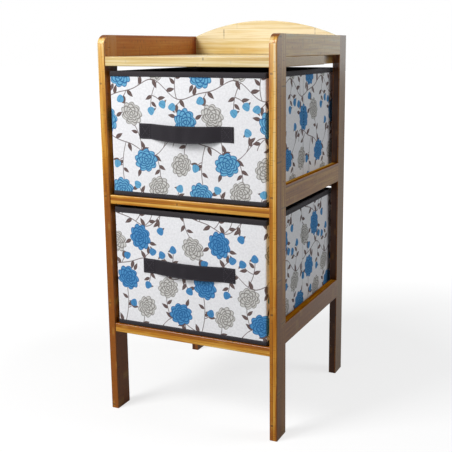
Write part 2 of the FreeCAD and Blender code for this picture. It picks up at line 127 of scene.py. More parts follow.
class DrawerSettings(bpy.types.PropertyGroup):
    corner: length_setting("Corner", "Radius of a drawer's upright corners", 0.0035)
    bulge: length_setting("Bulge", "How far a cloth wall swells", 0.0012)
    ripple: length_setting("Ripple", "Height of the cloth's ripples", 0.0003)
    crease: length_setting("Crease", "Depth of the fold in a side wall", 0.0022)
    stitch_long: length_setting("Stitch", "Length of a stitch", 0.0026)
    stitch_pitch: length_setting("Stitch pitch", "From stitch to stitch", 0.0036)
    thread_thick: length_setting("Thread", "Thickness of the thread", 0.0006)
    upper_sag: length_setting("Upper sag", "How far the upper strap hangs", 0.0026)
    lower_sag: length_setting("Lower sag", "How far the lower strap hangs", 0.0008)


class StageSettings(bpy.types.PropertyGroup):
    floor: colour_setting("Floor", "Studio floor", 148, 148, 148)
    key: power_setting("Key", "Light high on the left", 54.0)
    panel: power_setting("Panel", "Soft panel before the unit, on the left", 21.0)
    fill: power_setting("Fill", "Weak light from the right", 24.0)
    ambient: FloatProperty(
        name="Ambient", description="Strength of the room's light", default=0.14
    )
    mirrored: FloatProperty(
        name="Mirrored", description="Backdrop as glossy wood mirrors it", default=1.5
    )


# Shader writing: sockets that take part in arithmetic


def arithmetic(operation):
    """A method that adds one Math node."""
    return lambda wire, *others: wire.shader.math(operation, wire, *others)


class Wire:
    """A number or vector in a shader. Arithmetic on it adds Math nodes."""

    def __init__(self, shader, socket):
        self.shader = shader
        self.socket = socket

    __add__ = __radd__ = arithmetic("ADD")
    __sub__ = arithmetic("SUBTRACT")
    __mul__ = __rmul__ = arithmetic("MULTIPLY")
    __truediv__ = arithmetic("DIVIDE")
    power = arithmetic("POWER")
    sine = arithmetic("SINE")
    size = arithmetic("ABSOLUTE")
    larger = arithmetic("MAXIMUM")
    smaller = arithmetic("MINIMUM")
    fraction = arithmetic("FRACT")
    floor = arithmetic("FLOOR")
    over = arithmetic("GREATER_THAN")

    def __rsub__(self, other):
        return self.shader.math("SUBTRACT", other, self)

    def held(self, top=1.0):
        """This, held between 0 and a top. Maximum and minimum stand in for a clamp, which
        would come last and fill the shader's stack."""
        return self.larger(0.0).smaller(top)

    def below(self, limit, soft):
        """1 where this is under the limit, 0 above it, with a soft edge."""
        return ((limit - self) / soft).held()

    def wave(self, length):
        """A sine wave of a length, from 0 to 1."""
        return (self * (math.tau / length)).sine() * 0.5 + 0.5


class Shader:
    """Writes nodes into one node tree."""

    def __init__(self, tree):
        self.tree = tree

    def add(self, kind, **settings):
        node = self.tree.nodes.new(kind)
        for name, value in settings.items():
            setattr(node, name, value)
        return node

    def feed(self, socket, value):
        if isinstance(value, Wire):
            self.tree.links.new(value.socket, socket)
        else:
            socket.default_value = value

    def made(self, kind, *values, outlet=0, **settings):
        """Adds a node, feeds its inputs in their order and gives one of its outputs."""
        node = self.add(kind, **settings)
        for socket, value in zip(node.inputs, values):
            self.feed(socket, value)
        return Wire(self, node.outputs[outlet])

    def math(self, operation, *values):
        return self.made("ShaderNodeMath", *values, operation=operation)

    def vector(self, operation, *values, outlet="Vector"):
        return self.made("ShaderNodeVectorMath", *values, operation=operation, outlet=outlet)

    def length(self, vector):
        return self.vector("LENGTH", vector, outlet="Value")

    def split(self, vector):
        node = self.add("ShaderNodeSeparateXYZ")
        self.feed(node.inputs[0], vector)
        return [Wire(self, socket) for socket in node.outputs]

    def join(self, x, y, z=0.0):
        return self.made("ShaderNodeCombineXYZ", x, y, z)

    def mix(self, share, first, second, blend="MIX"):
        """A colour between two, by a share from 0 to 1."""
        node = self.add("ShaderNodeMix", data_type="RGBA", blend_type=blend)
        self.feed(node.inputs[0], share)
        for socket, value in ((node.inputs[6], first), (node.inputs[7], second)):
            self.feed(socket, value if isinstance(value, Wire) else (*value, 1.0))
        return Wire(self, node.outputs[2])

    def noise(self, vector, scale=1.0, detail=2.0, roughness=0.5):
        node = self.add("ShaderNodeTexNoise")
        levels = {"Vector": vector, "Scale": scale, "Detail": detail, "Roughness": roughness}
        for name, value in levels.items():
            self.feed(node.inputs[name], value)
        return Wire(self, node.outputs["Fac"])

    def ray(self, kind):
        """1 for rays of a kind, 0 for others."""
        return self.made("ShaderNodeLightPath", outlet="Is " + kind + " Ray")

    def chance(self, vector):
        """A random number from 0 to 1 for each whole-number place."""
        return self.made("ShaderNodeTexWhiteNoise", vector, noise_dimensions="3D")

    def place(self):
        """The point on the piece, in metres."""
        return self.made("ShaderNodeTexCoord", outlet="Object")

    def facing(self):
        """The direction that the piece's surface faces, as three numbers."""
        return self.split(self.made("ShaderNodeTexCoord", outlet="Normal"))

    def cloth_place(self):
        """The point on the cloth, in metres along and up."""
        return self.made("ShaderNodeUVMap", uv_map="Cloth")


def emptied(holder):
    """The node tree of a material or world, without nodes."""
    holder.use_nodes = True
    holder.node_tree.nodes.clear()
    return holder.node_tree


class Finish(Shader):
    """A new material with a Principled node, and the writer of its shader."""

    def __init__(self, name):
        self.material = bpy.data.materials.new(name)
        super().__init__(emptied(self.material))
        surface = self.add("ShaderNodeBsdfPrincipled")
        output = self.add("ShaderNodeOutputMaterial")
        self.tree.links.new(surface.outputs[0], output.inputs[0])
        self.inputs = surface.inputs

    def done(self, tone, rough, relief, depth, strength=1.0, **levels):
        """Feeds the surface and gives the material. The relief is a height from 0 to 1
        that stands for a depth in metres."""
        self.feed(self.inputs["Base Color"], tone)
        self.feed(self.inputs["Roughness"], rough)
        for name, value in levels.items():
            self.feed(self.inputs[name.replace("_", " ")], value)
        bump = self.add("ShaderNodeBump")
        for name, value in (("Strength", strength), ("Distance", depth), ("Height", relief)):
            self.feed(bump.inputs[name], value)
        self.tree.links.new(bump.outputs[0], self.inputs["Normal"])
        return self.material


def scaled(colour, times, more=0.0):
    """A colour made lighter or darker."""
    return tuple(min(1.0, part * times + more) for part in colour)


def dress(endings, material):
    """Gives the carried-over nodes whose names end so their finish."""
    for name, node in NODES.items():
        if name.endswith(endings):
            slots = node.data.materials
            for index in range(len(slots)):
                slots[index] = material
            if not slots:
                slots.append(material)


# Wood

# The dark mark at a node of the cane: half its width, its soft edge, how far it wanders
# with the fibres, and the pale stretch on both sides of it
KNUCKLE_HALF = 2.1 * MM
KNUCKLE_SOFT = 1.0 * MM
KNUCKLE_WANDER = 2.2 * MM
KNUCKLE_HALO = 10.0 * MM
# Short dark ticks on the outer faces, and the painted contact shadow line at the back board's foot
TICK_LONG = 2.2 * MM
TICK_WIDE = 12.0 * MM
FOOT_SHADOW_HALF = 3.0 * MM
# The varnish
COAT = 0.42
COAT_ROUGH = 0.16
GLOSS = 0.3
WOOD_RELIEF = 0.18 * MM
# Hidden fittings
STEEL = (0.62, 0.62, 0.60)
ZINC = (0.55, 0.55, 0.54)
CARD = screen_colour(150, 146, 136)
CARD_SPECKS = screen_colour(96, 92, 84)


def bamboo(name, axes, tones, drift=0.0, offset=0.0, skin=0.0, outer_shade_tone=None, outer=0, foot=-1.0):
    """Bamboo strips glued side by side. The cane runs along the first axis; strips lie
    beside each other on the second axis and in layers on the third. Each strip has its own
    tone and its own places for the cane's nodes. Streaks and fibres are noise drawn out
    lengthwise; faces across the cane show dark pores. The three tones are the main, the
    pale and the darkest one; the palest fibres go on to ivory. drift is how much paler the
    cane gets with each metre of height, offset makes a whole stick paler or darker,
    skin is how much of a painted shade tone (outer_shade_tone, or the skin
    colour) the outer face takes in place of its shade and the pale reflection of the room,
    outer is the sign of that face on the third axis, and foot is the height of a painted
    contact shadow line. Inner faces beside the shelf take painted shade with warm bounce
    light, and the ledges of the side frames have no gloss."""
    wood = bpy.context.scene.unit_wood
    along, across, layered = axes
    main, pale, deep = tones
    shader = Finish(name)
    place = shader.split(shader.place())
    strip = (place[across] / wood.strip_wide).floor()
    layer = (place[layered] / wood.strip_thick).floor()
    own = shader.chance(shader.join(strip, layer, 3.7))
    second = shader.chance(shader.join(strip, layer, 9.1))
    run = place[along] + own * 3.0

    def drawn_out(width, length, detail):
        """Noise of a width across the cane and a length along it."""
        sideways = (place[across] / width, place[layered] / width)
        return shader.noise(shader.join(*sideways, run / length), 1.0, detail, 0.6)

    fibre = drawn_out(wood.fibre_wide, wood.fibre_wide * 50, 3.0)
    streak = drawn_out(wood.fibre_wide * 4, wood.fibre_wide * 130, 2.0)
    cloud = shader.noise(shader.place(), 7.0)

    value = own * 0.85 + (streak - 0.5) * 1.6 + (cloud - 0.5) * 0.7
    value = (value + (place[2] - 0.4) * drift + (0.075 + offset)).held(1.4)
    tone = shader.mix((value * 2.0).smaller(1.0), deep, main)
    tone = shader.mix((value * 2.0 - 1.0).held(), tone, pale)
    tone = shader.mix((value * 1.6 - 1.44).larger(0.0), tone, wood.ivory)
    tone = shader.mix(fibre.below(0.46, 0.12) * 0.45, tone, deep)

    pitch = wood.knuckle_pitch
    step = ((run / pitch) + second * 0.37).fraction()
    from_mark = (step - 0.5).size() * pitch
    wander = (fibre - 0.5) * KNUCKLE_WANDER
    mark = (from_mark + wander).below(KNUCKLE_HALF, KNUCKLE_SOFT)
    strength = ((second - 0.30) * 1.5).larger(0.10).smaller(1.3 - value)
    halo = from_mark.below(KNUCKLE_HALO, KNUCKLE_HALO)
    tone = shader.mix(halo * 0.25, tone, pale)
    tone = shader.mix(mark * strength * 0.9, tone, wood.knuckle)

    side = (place[across] / wood.strip_wide).fraction()
    glue = (0.5 - (side - 0.5).size()).below(0.012, 0.010)
    layer_side = (place[layered] / wood.strip_thick).fraction()
    seam = (0.5 - (layer_side - 0.5).size()).below(0.05, 0.05)
    tone = shader.mix(glue.larger(seam * 0.6) * 0.35, tone, wood.knuckle)
    facing = shader.facing()
    outward = facing[layered] * outer
    # Painted shade and painted reflection: outer faces of the side frames turn towards a dull
    # grey-brown
    tone = shader.mix(outward.larger(0.0) * skin, tone, outer_shade_tone or wood.skin)
    # Painted shade with warm bounce light: inner faces turn russet above the shelf, more with height
    inner_shade_share = (place[2] * 6.0 - 3.0).held(0.75)
    tone = shader.mix((outward * -1.0).larger(0.0) * inner_shade_share, tone, wood.inner_shade)
    ticks = shader.join(run / TICK_LONG, place[across] / TICK_WIDE, layer)
    ticks = (shader.noise(ticks, detail=0.0) - 0.66) * (12.0 * skin)
    tone = shader.mix(ticks.held(0.6), tone, wood.knuckle)
    # Painted contact shadow: a dark line where the back board stands on the shelf
    foot_shadow = (place[2] - foot).size().below(FOOT_SHADOW_HALF, FOOT_SHADOW_HALF / 2)
    tone = shader.mix(foot_shadow * 0.65, tone, wood.knuckle)
    pores = drawn_out(wood.fibre_wide, wood.fibre_wide * 8, 2.0).below(0.5, 0.1)
    cut = shader.mix(pores * 0.35 + 0.45, deep, wood.knuckle)
    end = ((facing[along].size() - 0.6) * 5.0).held()
    tone = shader.mix(end, tone, cut)

    rough = (fibre - 0.5) * 0.16 + 0.34
    gloss = 1.0 - facing[2].larger(0.0) * abs(outer)
    levels = {"Specular_IOR_Level": gloss * GLOSS, "Coat_Weight": gloss * COAT}
    relief = fibre * 0.6 - mark * 0.7 - glue * 0.6 + streak * 0.3
    levels["Coat_Roughness"] = COAT_ROUGH
    return shader.done(tone, rough, relief, WOOD_RELIEF, 0.45, **levels)


def beech(name):
    """Turned beech: fine fibres and short dark flecks."""
    wood = bpy.context.scene.unit_wood
    shader = Finish(name)
    fibre = shader.noise(shader.place(), 900)
    fleck = shader.noise(shader.place(), 260)
    tone = shader.mix(fleck.below(0.42, 0.05) * 0.5, wood.beech, wood.amber)
    return shader.done(tone, 0.7, fibre, 0.1 * MM)


def metal(name, colour, rough, scale):
    """Plated or cast metal with a grainy surface."""
    shader = Finish(name)
    grain = shader.noise(shader.place(), scale, 3.0)
    tone = shader.mix(grain, colour, scaled(colour, 0.7))
    return shader.done(tone, rough + (grain - 0.5) * 0.2, grain, 0.05 * MM, Metallic=1.0)


def pressed_board(name):
    """Grey pressed board: speckled, with short fibres."""
    shader = Finish(name)
    speck = shader.noise(shader.place(), 700, 3.0)
    cloud = shader.noise(shader.place(), 60)
    share = speck.below(0.45, 0.15) * 0.6 + (cloud - 0.5) * 0.3
    return shader.done(shader.mix(share, CARD, CARD_SPECKS), 0.92, speck, 0.1 * MM)


# Cloth

# From thread to thread, dimple to dimple and rib to rib
THREAD_PITCH = 0.9 * MM
FLOOR_DIMPLE = 2.2 * MM
LINING_DIMPLE = 1.8 * MM
BASE_DIMPLE = 2.6 * MM
TAPE_RIB = 1.1 * MM
WEBBING_RIB = 1.6 * MM
PLY_PITCH = 0.7 * MM
# Depth of each cloth's relief
PRINT_RELIEF = 0.12 * MM
DARK_RELIEF = 0.15 * MM
TAPE_RELIEF = 0.18 * MM
THREAD_RELIEF = 0.1 * MM


def weave(shader, place, pitch):
    """A plain weave from 0 to 1: two crossed waves, each strong where the other is weak."""
    x, y, _ = shader.split(shader.vector("MULTIPLY", place, (math.tau / pitch,) * 3))
    return x.sine() * y.sine() * 0.5 + 0.5


def motif_group(name, draw, *outputs):
    """A node group that draws one motif from a point in the motif's own units."""
    if name in bpy.data.node_groups:
        return bpy.data.node_groups[name]
    tree = bpy.data.node_groups.new(name, "ShaderNodeTree")
    tree.interface.new_socket("Point", in_out="INPUT", socket_type="NodeSocketVector")
    for output in outputs:
        tree.interface.new_socket(output, in_out="OUTPUT", socket_type="NodeSocketFloat")
    shader = Shader(tree)
    entry = shader.add("NodeGroupInput")
    leave = shader.add("NodeGroupOutput")
    for socket, value in zip(leave.inputs, draw(shader, Wire(shader, entry.outputs[0]))):
        shader.feed(socket, value)
    return tree


def draw_blossom(shader, point):
    """A round blossom of radius 1. Its outline and its inner rings are circles whose
    radius swells with the absolute sine of the angle, so that each ring reads as a row of
    petals, and the rings turn against each other."""
    x, y, _ = shader.split(shader.vector("MULTIPLY", point, (1.07, 0.93, 1.0)))
    radius = shader.length(shader.join(x, y))
    angle = shader.math("ARCTAN2", y, x) + radius * 0.5

    def ring(mean, depth, petals, turn):
        lobe = (angle * (petals / 2) + turn).sine().size()
        return lobe * depth + (mean - depth)

    inside = radius.below(ring(1.0, 0.16, 9, 0.3), 0.03)
    line = None
    for row in (
        (0.97, 0.16, 9, 0.3),
        (0.78, 0.17, 7, 1.1),
        (0.57, 0.15, 6, 0.2),
        (0.37, 0.12, 5, 1.9),
        (0.17, 0.07, 3, 0.6),
    ):
        one = (radius - ring(*row)).size().below(0.068, 0.04)
        line = line.larger(one) if line else one
    return inside, line, radius


def draw_leaf(shader, point):
    """A leaf from the origin to 1 on X. Half its width is a sine of a power of the
    length, so that it is broadest near its stalk; its rib is a thin line."""
    x, y, _ = shader.split(point)
    width = (x.held().power(0.72) * math.pi).sine() * 0.23
    inside = y.size().below(width, 0.03)
    return inside, y.size().below(0.022, 0.02) * x.below(0.85, 0.05)


def draw_bud(shader, point):
    """A bud of radius 1: an oval drawn to a tip on X, with one curved petal line."""
    x, y, _ = shader.split(point)
    narrowing = 1.0 - (x * 0.28)
    inside = shader.length(shader.join(x * 0.92, y / narrowing)).below(1.0, 0.06)
    return inside, (y - (x * 1.9).sine() * 0.42).size().below(0.09, 0.06)


# Print: half the width of its lines, the twigs that bear two leaves, and motif sizes
VINE_HALF = 1.15 * MM
VINE_SOFT = 0.6 * MM
TWIG_HALF = 1.0 * MM
LONG_TWIG = 35.0 * MM
BUD_RADIUS = 7.2 * MM
TWIG_LEAF = 16.0 * MM
END_LEAF = 15.0 * MM
BUD_LEAF = 12.5 * MM
VINE_LEAF = 18.0 * MM
BLOSSOM_LEAF = 16.5 * MM
# Each drawer's shift of the print, whether it is turned round, and how much paler the blue on its
# front is
LAYOUTS = {"upper": ((0.030, 0.012), False, 0.34), "lower": ((0.094, 0.090), True, 0.0)}
# Blossoms: place in the tile, turn and radius
BLUE_BLOSSOMS = (
    ((0.030, 0.160), 0.3, 0.0245),
    ((0.112, 0.088), 1.7, 0.0235),
    ((0.060, 0.030), 4.0, 0.0240),
)
GREY_BLOSSOMS = (
    ((0.084, 0.172), 0.9, 0.0225),
    ((0.020, 0.083), 2.6, 0.0215),
    ((0.138, 0.040), 5.2, 0.0215),
)
# Vines: mean height, then swing and phase of the one wave and of the two
VINES = ((0.118, 0.018, 0.4, 0.006, 1.0), (0.004, 0.015, 3.4, 0.005, 4.0))
# Twigs: their vine, the share along it, where they end, their turn, and if they bear a bud
TWIGS = (
    (0, 0.62, (0.090, 0.151), 0.7, False),
    (0, 0.24, (0.027, 0.103), 0.9, False),
    (0, 0.42, (0.063, 0.050), 0.5, False),
    (0, 0.80, (0.142, 0.060), -0.5, False),
    (0, 0.13, (0.004, 0.116), 0.9, False),
    (0, 0.90, (0.152, 0.146), 1.0, True),
    (1, 0.84, (0.126, -0.034), 0.7, True),
    (1, 0.13, (0.003, -0.026), -0.9, True),
    (1, 0.08, (0.016, 0.040), -0.8, True),
    (1, 0.60, (0.092, 0.042), 1.0, True),
    (1, 0.44, (0.060, -0.014), -0.8, True),
)
# Twigs that fork from other twigs: start, end, turn and bud
LOOSE_TWIGS = (
    ((0.1279, -0.0060), (0.150, -0.022), -0.9, True),
    ((0.0622, 0.090), (0.049, 0.078), 0.8, True),
)


class Print:
    """Lays motifs over the cloth, each repeated in every tile of the print."""

    def __init__(self, shader, place, tile):
        self.shader = shader
        self.place = place
        self.half = (tile[0] / 2, tile[1] / 2, 1.0)

    def near(self, anchor, angle=0.0, scale=1.0):
        """The point as seen from the nearest copy of a motif's anchor."""
        shader = self.shader
        offset = shader.vector("SUBTRACT", self.place, (*anchor, 0.0))
        offset = shader.vector("WRAP", offset, self.half, tuple(-part for part in self.half))
        turned = (offset, (0, 0, 0), (0, 0, angle), (scale,) * 3)
        return shader.made("ShaderNodeMapping", *turned, vector_type="TEXTURE")

    def motif(self, group, anchor, angle, scale):
        """What a motif's group gives at its nearest copy."""
        point = self.near(anchor, angle, scale)
        node = self.shader.add("ShaderNodeGroup", node_tree=group)
        self.shader.feed(node.inputs[0], point)
        return [Wire(self.shader, socket) for socket in node.outputs]

    def motifs(self, group, places):
        """The shapes and the lines of one motif at many places, as two masks."""
        shapes = lines = None
        for place in places:
            inside, line = self.motif(group, *place)
            shapes = shapes.larger(inside) if shapes else inside
            line = line * inside
            lines = lines.larger(line) if lines else line
        return shapes, lines

    def arc(self, start, end, turn, width):
        """A piece of a circle between two points, over which the heading changes by a
        turn. Returns its mask, its middle and its heading there."""
        chord = (end[0] - start[0], end[1] - start[1])
        heading = math.atan2(chord[1], chord[0])
        radius = math.hypot(*chord) / (2 * math.sin(abs(turn) / 2))
        side = 1 if turn > 0 else -1
        out = (side * math.sin(heading), -side * math.cos(heading))
        rise = radius * (1 - math.cos(turn / 2))
        middle = tuple((start[i] + end[i]) / 2 + out[i] * rise for i in (0, 1))
        shader = self.shader
        point = self.near(middle)
        point = shader.vector("ADD", point, (out[0] * radius, out[1] * radius, 0.0))
        length = shader.length(point)
        along = shader.vector("DOT_PRODUCT", point, (*out, 0.0), outlet="Value")
        line = (length - radius).size().below(width, width * 0.6)
        return line * along.over(length * math.cos(turn / 2)), middle, heading


def printed_cloth(name, shift, turned, paler_front):
    """The cloth's print: pale and blue blossoms, buds and leaves on wandering vines. A
    vine's height is a sine of one wave to the tile plus a weaker one of two waves. On the
    drawer's front the blue is made paler, towards sky, by a share."""
    cloth = bpy.context.scene.unit_cloth
    shader = Finish(name)
    blossom = motif_group("Blossom", draw_blossom, "Inside", "Line", "Radius")
    leaf = motif_group("Leaf", draw_leaf, "Inside", "Rib")
    bud = motif_group("Bud", draw_bud, "Inside", "Fold")

    way = -1.0 if turned else 1.0
    place = shader.vector("MULTIPLY", shader.cloth_place(), (way, way, 1.0))
    place = shader.vector("ADD", place, (*shift, 0.0))
    layout = Print(shader, place, (cloth.tile_wide, cloth.tile_high))
    wave = math.tau / cloth.tile_wide

    masks = []
    for base, swing, phase, swing_two, phase_two in VINES:
        x, y, _ = shader.split(layout.near((0.0, base)))
        height = (x * wave + phase).sine() * swing
        height = height + (x * (wave * 2) + phase_two).sine() * swing_two
        masks.append((y - height).size().below(VINE_HALF, VINE_SOFT))

    def on_vine(number, share):
        """A point of a vine and the vine's heading there."""
        base, swing, phase, swing_two, phase_two = VINES[number]
        x = share * cloth.tile_wide
        one = x * wave + phase
        two = x * wave * 2 + phase_two
        y = base + swing * math.sin(one) + swing_two * math.sin(two)
        slope = wave * (swing * math.cos(one) + 2 * swing_two * math.cos(two))
        return (x, y), math.atan(slope)

    twigs = [(on_vine(vine, share)[0], *rest) for vine, share, *rest in TWIGS]
    leaves = []
    buds = []
    for start, end, turn, budding in (*twigs, *LOOSE_TWIGS):
        mask, middle, heading = layout.arc(start, end, turn, TWIG_HALF)
        masks.append(mask)
        side = 1 if turn > 0 else -1
        leaves.append((middle, heading - side * 0.8, TWIG_LEAF))
        if math.dist(start, end) > LONG_TWIG:
            past = (middle[0] * 0.6 + end[0] * 0.4, middle[1] * 0.6 + end[1] * 0.4)
            leaves.append((past, heading + side * 1.05, END_LEAF))
        if budding:
            buds.append((end, heading + turn / 2, BUD_RADIUS))
            leaves.append((end, heading + turn / 2 + 1.9, BUD_LEAF))
    for number in (0, 1):
        for index in range(6):
            start, heading = on_vine(number, index / 6 + 0.12)
            side = 1 if index % 2 else -1
            leaves.append((start, heading + side * 0.95, VINE_LEAF))

    for (x, y), turn, radius in BLUE_BLOSSOMS:
        for angle in (turn, turn + 2.4):
            reach = radius * 0.88
            base = (x + reach * math.cos(angle), y + reach * math.sin(angle))
            leaves.append((base, angle + 0.25, BLOSSOM_LEAF))

    tone = shader.mix(0.0, cloth.ground, cloth.ground)
    for where in GREY_BLOSSOMS:
        inside, line, _ = layout.motif(blossom, *where)
        tone = shader.mix(inside * 0.60, tone, cloth.grey)
        tone = shader.mix(inside * line * 0.80, tone, cloth.grey_ink)
    vine = masks[0]
    for mask in masks[1:]:
        vine = vine.larger(mask)
    tone = shader.mix(vine * 0.95, tone, cloth.vine)
    shapes, ribs = layout.motifs(leaf, leaves)
    tone = shader.mix(shapes, tone, cloth.leaf)
    tone = shader.mix(ribs * 0.35, tone, cloth.grey)
    stipple = shader.noise(place, 900, 1.0).below(0.47, 0.06)
    front = (shader.facing()[1] * -paler_front).larger(0.0)
    for where in BLUE_BLOSSOMS:
        inside, line, distance = layout.motif(blossom, *where)
        petal = shader.mix(distance.below(0.9, 0.9) * 0.30, cloth.blue, cloth.blue_ink)
        petal = shader.mix(front, petal, cloth.sky)
        petal = shader.mix(line.larger(stipple * 0.55) * 0.95, petal, cloth.blue_ink)
        tone = shader.mix(inside, tone, petal)
    shapes, folds = layout.motifs(bud, buds)
    petal = shader.mix(stipple * 0.3 + 0.25, cloth.blue, cloth.blue_ink)
    petal = shader.mix(front * 0.7, petal, cloth.sky)
    tone = shader.mix(shapes, tone, petal)
    tone = shader.mix(folds * 0.7, tone, cloth.blue_ink)

    threads = weave(shader, place, THREAD_PITCH)
    fluff = shader.noise(place, 420, 3.0)
    mottle = shader.noise(place, 230, 1.0)
    ink = 0.95 + (fluff - 0.5) * 0.20 + (threads - 0.5) * 0.05 + (mottle - 0.5) * 0.22
    tone = shader.mix(1.0, tone, shader.join(ink, ink, ink), "MULTIPLY")
    relief = threads * 0.7 + fluff * 0.6
    levels = {"Specular_IOR_Level": 0.25, "Sheen_Weight": 0.05}
    return shader.done(tone, 0.88, relief, PRINT_RELIEF, 0.5, **levels)


def dark_cloth(name, colour, pitch):
    """Thin non-woven cloth: rows of small pressed dimples, dust and faint clouds."""
    shader = Finish(name)
    place = shader.cloth_place()
    dimples = weave(shader, place, pitch)
    fluff = shader.noise(place, 500, 3.0)
    cloud = shader.noise(place, 14)
    share = (fluff - 0.3) * 0.5 + (cloud - 0.5) * 0.4
    tone = shader.mix(share, colour, scaled(colour, 2.6, 0.01))
    relief = dimples * 0.8 + fluff * 0.4
    return shader.done(tone, 0.9, relief, DARK_RELIEF, 0.7, Sheen_Weight=0.2)


def ribbed_tape(name, colour, rib):
    """Woven tape: ribs across its length, a finer row of threads between them."""
    shader = Finish(name)
    x, y, _ = shader.split(shader.cloth_place())
    ribs = x.wave(rib)
    rows = y.wave(rib * 0.55)
    fluff = shader.noise(shader.cloth_place(), 600, 3.0)
    tone = shader.mix(ribs * 0.28 + (fluff - 0.4) * 0.5, colour, scaled(colour, 2.4, 0.012))
    relief = ribs + rows * 0.5 + fluff * 0.3
    levels = {"Specular_IOR_Level": 0.3, "Sheen_Weight": 0.06, "Sheen_Roughness": 0.4}
    return shader.done(tone, 0.72, relief, TAPE_RELIEF, 0.8, **levels)


def thread(name, colour):
    """Twisted thread: slanting ply lines."""
    shader = Finish(name)
    x, y, z = shader.split(shader.place())
    ply = (x + y + z * 0.8).wave(PLY_PITCH)
    tone = shader.mix(ply, colour, scaled(colour, 1.8, 0.01))
    return shader.done(tone, 0.6, ply, THREAD_RELIEF)


# Surfaces worked out as arrays


def closed(points):
    """Points with the first one again at their end."""
    return np.concatenate([points, points[:1]])


def path_length(points):
    """Distance along a path of points, from 0."""
    steps = np.diff(points, axis=0)
    return np.concatenate([[0.0], np.cumsum(np.hypot(steps[:, 0], steps[:, 1]))])


def pairs(insets, heights):
    """A part of a profile, as points of inset and height."""
    return np.stack(np.broadcast_arrays(insets, heights), axis=1)


def quarter(start, end, bulge_first, samples=6):
    """A quarter of an ellipse between two points of a profile. bulge_first keeps the
    inset still at the start, otherwise the height."""
    angle = np.linspace(0, math.pi / 2, samples)
    shares = np.stack([1 - np.cos(angle), np.sin(angle)], axis=1)
    start = np.array(start)
    return start + (end - start) * (shares if bulge_first else shares[:, ::-1])


def node_box(name):
    """A node's box as two arrays."""
    low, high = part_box(name)
    return np.array(low, float), np.array(high, float)


class Ring:
    """A node's box seen from above, with rounded corners, as samples that run
    anticlockwise from the middle of its rear side. Straight sides are straight lines,
    corners quarter circles. Every inset gives as many samples, so rings of different inset
    join up. Gather draws the samples of the left and right side together at their middle,
    where the fold is: a sine of one wave to the side moves each share."""

    CORNER_SAMPLES = 7
    SHARPEST = 0.4 * MM

    def __init__(self, name, radius, step, gather=0.0):
        low, high = node_box(name)
        self.low, self.high = low[:2], high[:2]
        self.bottom, self.top = low[2], high[2]
        self.radius = radius
        self.gather = gather
        sides = self.high - self.low
        self.half = min(sides) / 2
        self.counts = [max(4, int(round(side / step / 2)) * 2) for side in sides]
        self.points, self.normals = self.at(0.0)
        self.around = path_length(closed(self.points))

    def at(self, inset):
        """Samples and outward normals of the ring drawn in by an inset."""
        radius = max(self.radius - inset, self.SHARPEST)
        left, front = self.low + inset + radius
        right, rear = self.high - inset - radius
        centres = ((left, front), (right, front), (right, rear), (left, rear))
        quarters = np.linspace(0.0, math.pi / 2, self.CORNER_SAMPLES)
        arcs = []
        for (x, y), turns in zip(centres, (1.0, 1.5, 0.0, 0.5)):
            angles = turns * math.pi + quarters
            outward = np.stack([np.cos(angles), np.sin(angles)], axis=1)
            arcs.append((np.array([x, y]) + radius * outward, outward))
        points = []
        normals = []
        for index, (arc, outward) in enumerate(arcs):
            share = np.linspace(0.0, 1.0, self.counts[index % 2] + 1)[1:-1, None]
            if index % 2:
                share = share + self.gather * np.sin(share * math.tau) / math.tau
            goal = arcs[(index + 1) % 4][0][0]
            side = arc[-1] * (1 - share) + goal * share
            points += [arc, side]
            normals += [outward, np.repeat(outward[-1:], len(side), axis=0)]
        front_side, right_side = (count - 1 for count in self.counts)
        shift = self.CORNER_SAMPLES * 3 + front_side + right_side + front_side // 2
        return [np.roll(np.concatenate(part), -shift, axis=0) for part in (points, normals)]


def build_mesh(name, points, faces, texture, materials, pick=None):
    """A mesh piece from points, faces as rows of corners, and texture places for each
    face corner."""
    mesh = bpy.data.meshes.new(name)
    mesh.from_pydata(points.reshape(-1, 3).tolist(), [], faces.tolist())
    layer = mesh.uv_layers.new(name="Cloth")
    layer.data.foreach_set("uv", np.ascontiguousarray(texture, np.float32).ravel())
    for material in materials:
        mesh.materials.append(material)
    if pick is not None:
        mesh.polygons.foreach_set("material_index", pick.astype(np.int32))
    mesh.polygons.foreach_set("use_smooth", np.ones(len(faces), bool))
    mesh.update()
    piece = bpy.data.objects.new(name, mesh)
    bpy.context.scene.collection.objects.link(piece)
    return piece


def grid_faces(rows, columns, close_rows, close_columns):
    """Corners of the quads of a grid, and the same corners without the wrap, which give
    the texture places. Rows run along the first axis."""
    i = np.arange(rows if close_rows else rows - 1)
    j = np.arange(columns if close_columns else columns - 1)
    i, j = (part.ravel() for part in np.meshgrid(i, j, indexing="ij"))
    open_rows = np.stack([i, i + 1, i + 1, i], axis=1)
    open_columns = np.stack([j, j, j + 1, j + 1], axis=1)
    return (open_rows % rows) * columns + open_columns % columns, open_rows, open_columns


def grid_piece(name, grid, u, v, wraps, materials, pick=None):
    """A piece whose surface is a function of two parameters, given on a grid. u and v are
    the texture places of rows and columns, one more than the grid has where it wraps.
    Each open end is filled with one flat face, its corners in their order."""
    faces, i, j = grid_faces(*grid.shape[:2], *wraps)
    texture = np.stack([u[i], v[j]], axis=2)
    chosen = None if pick is None else pick[j[:, 0]]
    piece = build_mesh(name, grid, faces, texture, materials, chosen)
    if not all(wraps):
        mesh = bmesh.new()
        mesh.from_mesh(piece.data)
        edges = [edge for edge in mesh.edges if edge.is_boundary]
        bmesh.ops.holes_fill(mesh, edges=edges, sides=0)
        bmesh.ops.recalc_face_normals(mesh, faces=mesh.faces)
        mesh.to_mesh(piece.data)
        mesh.free()
    return piece


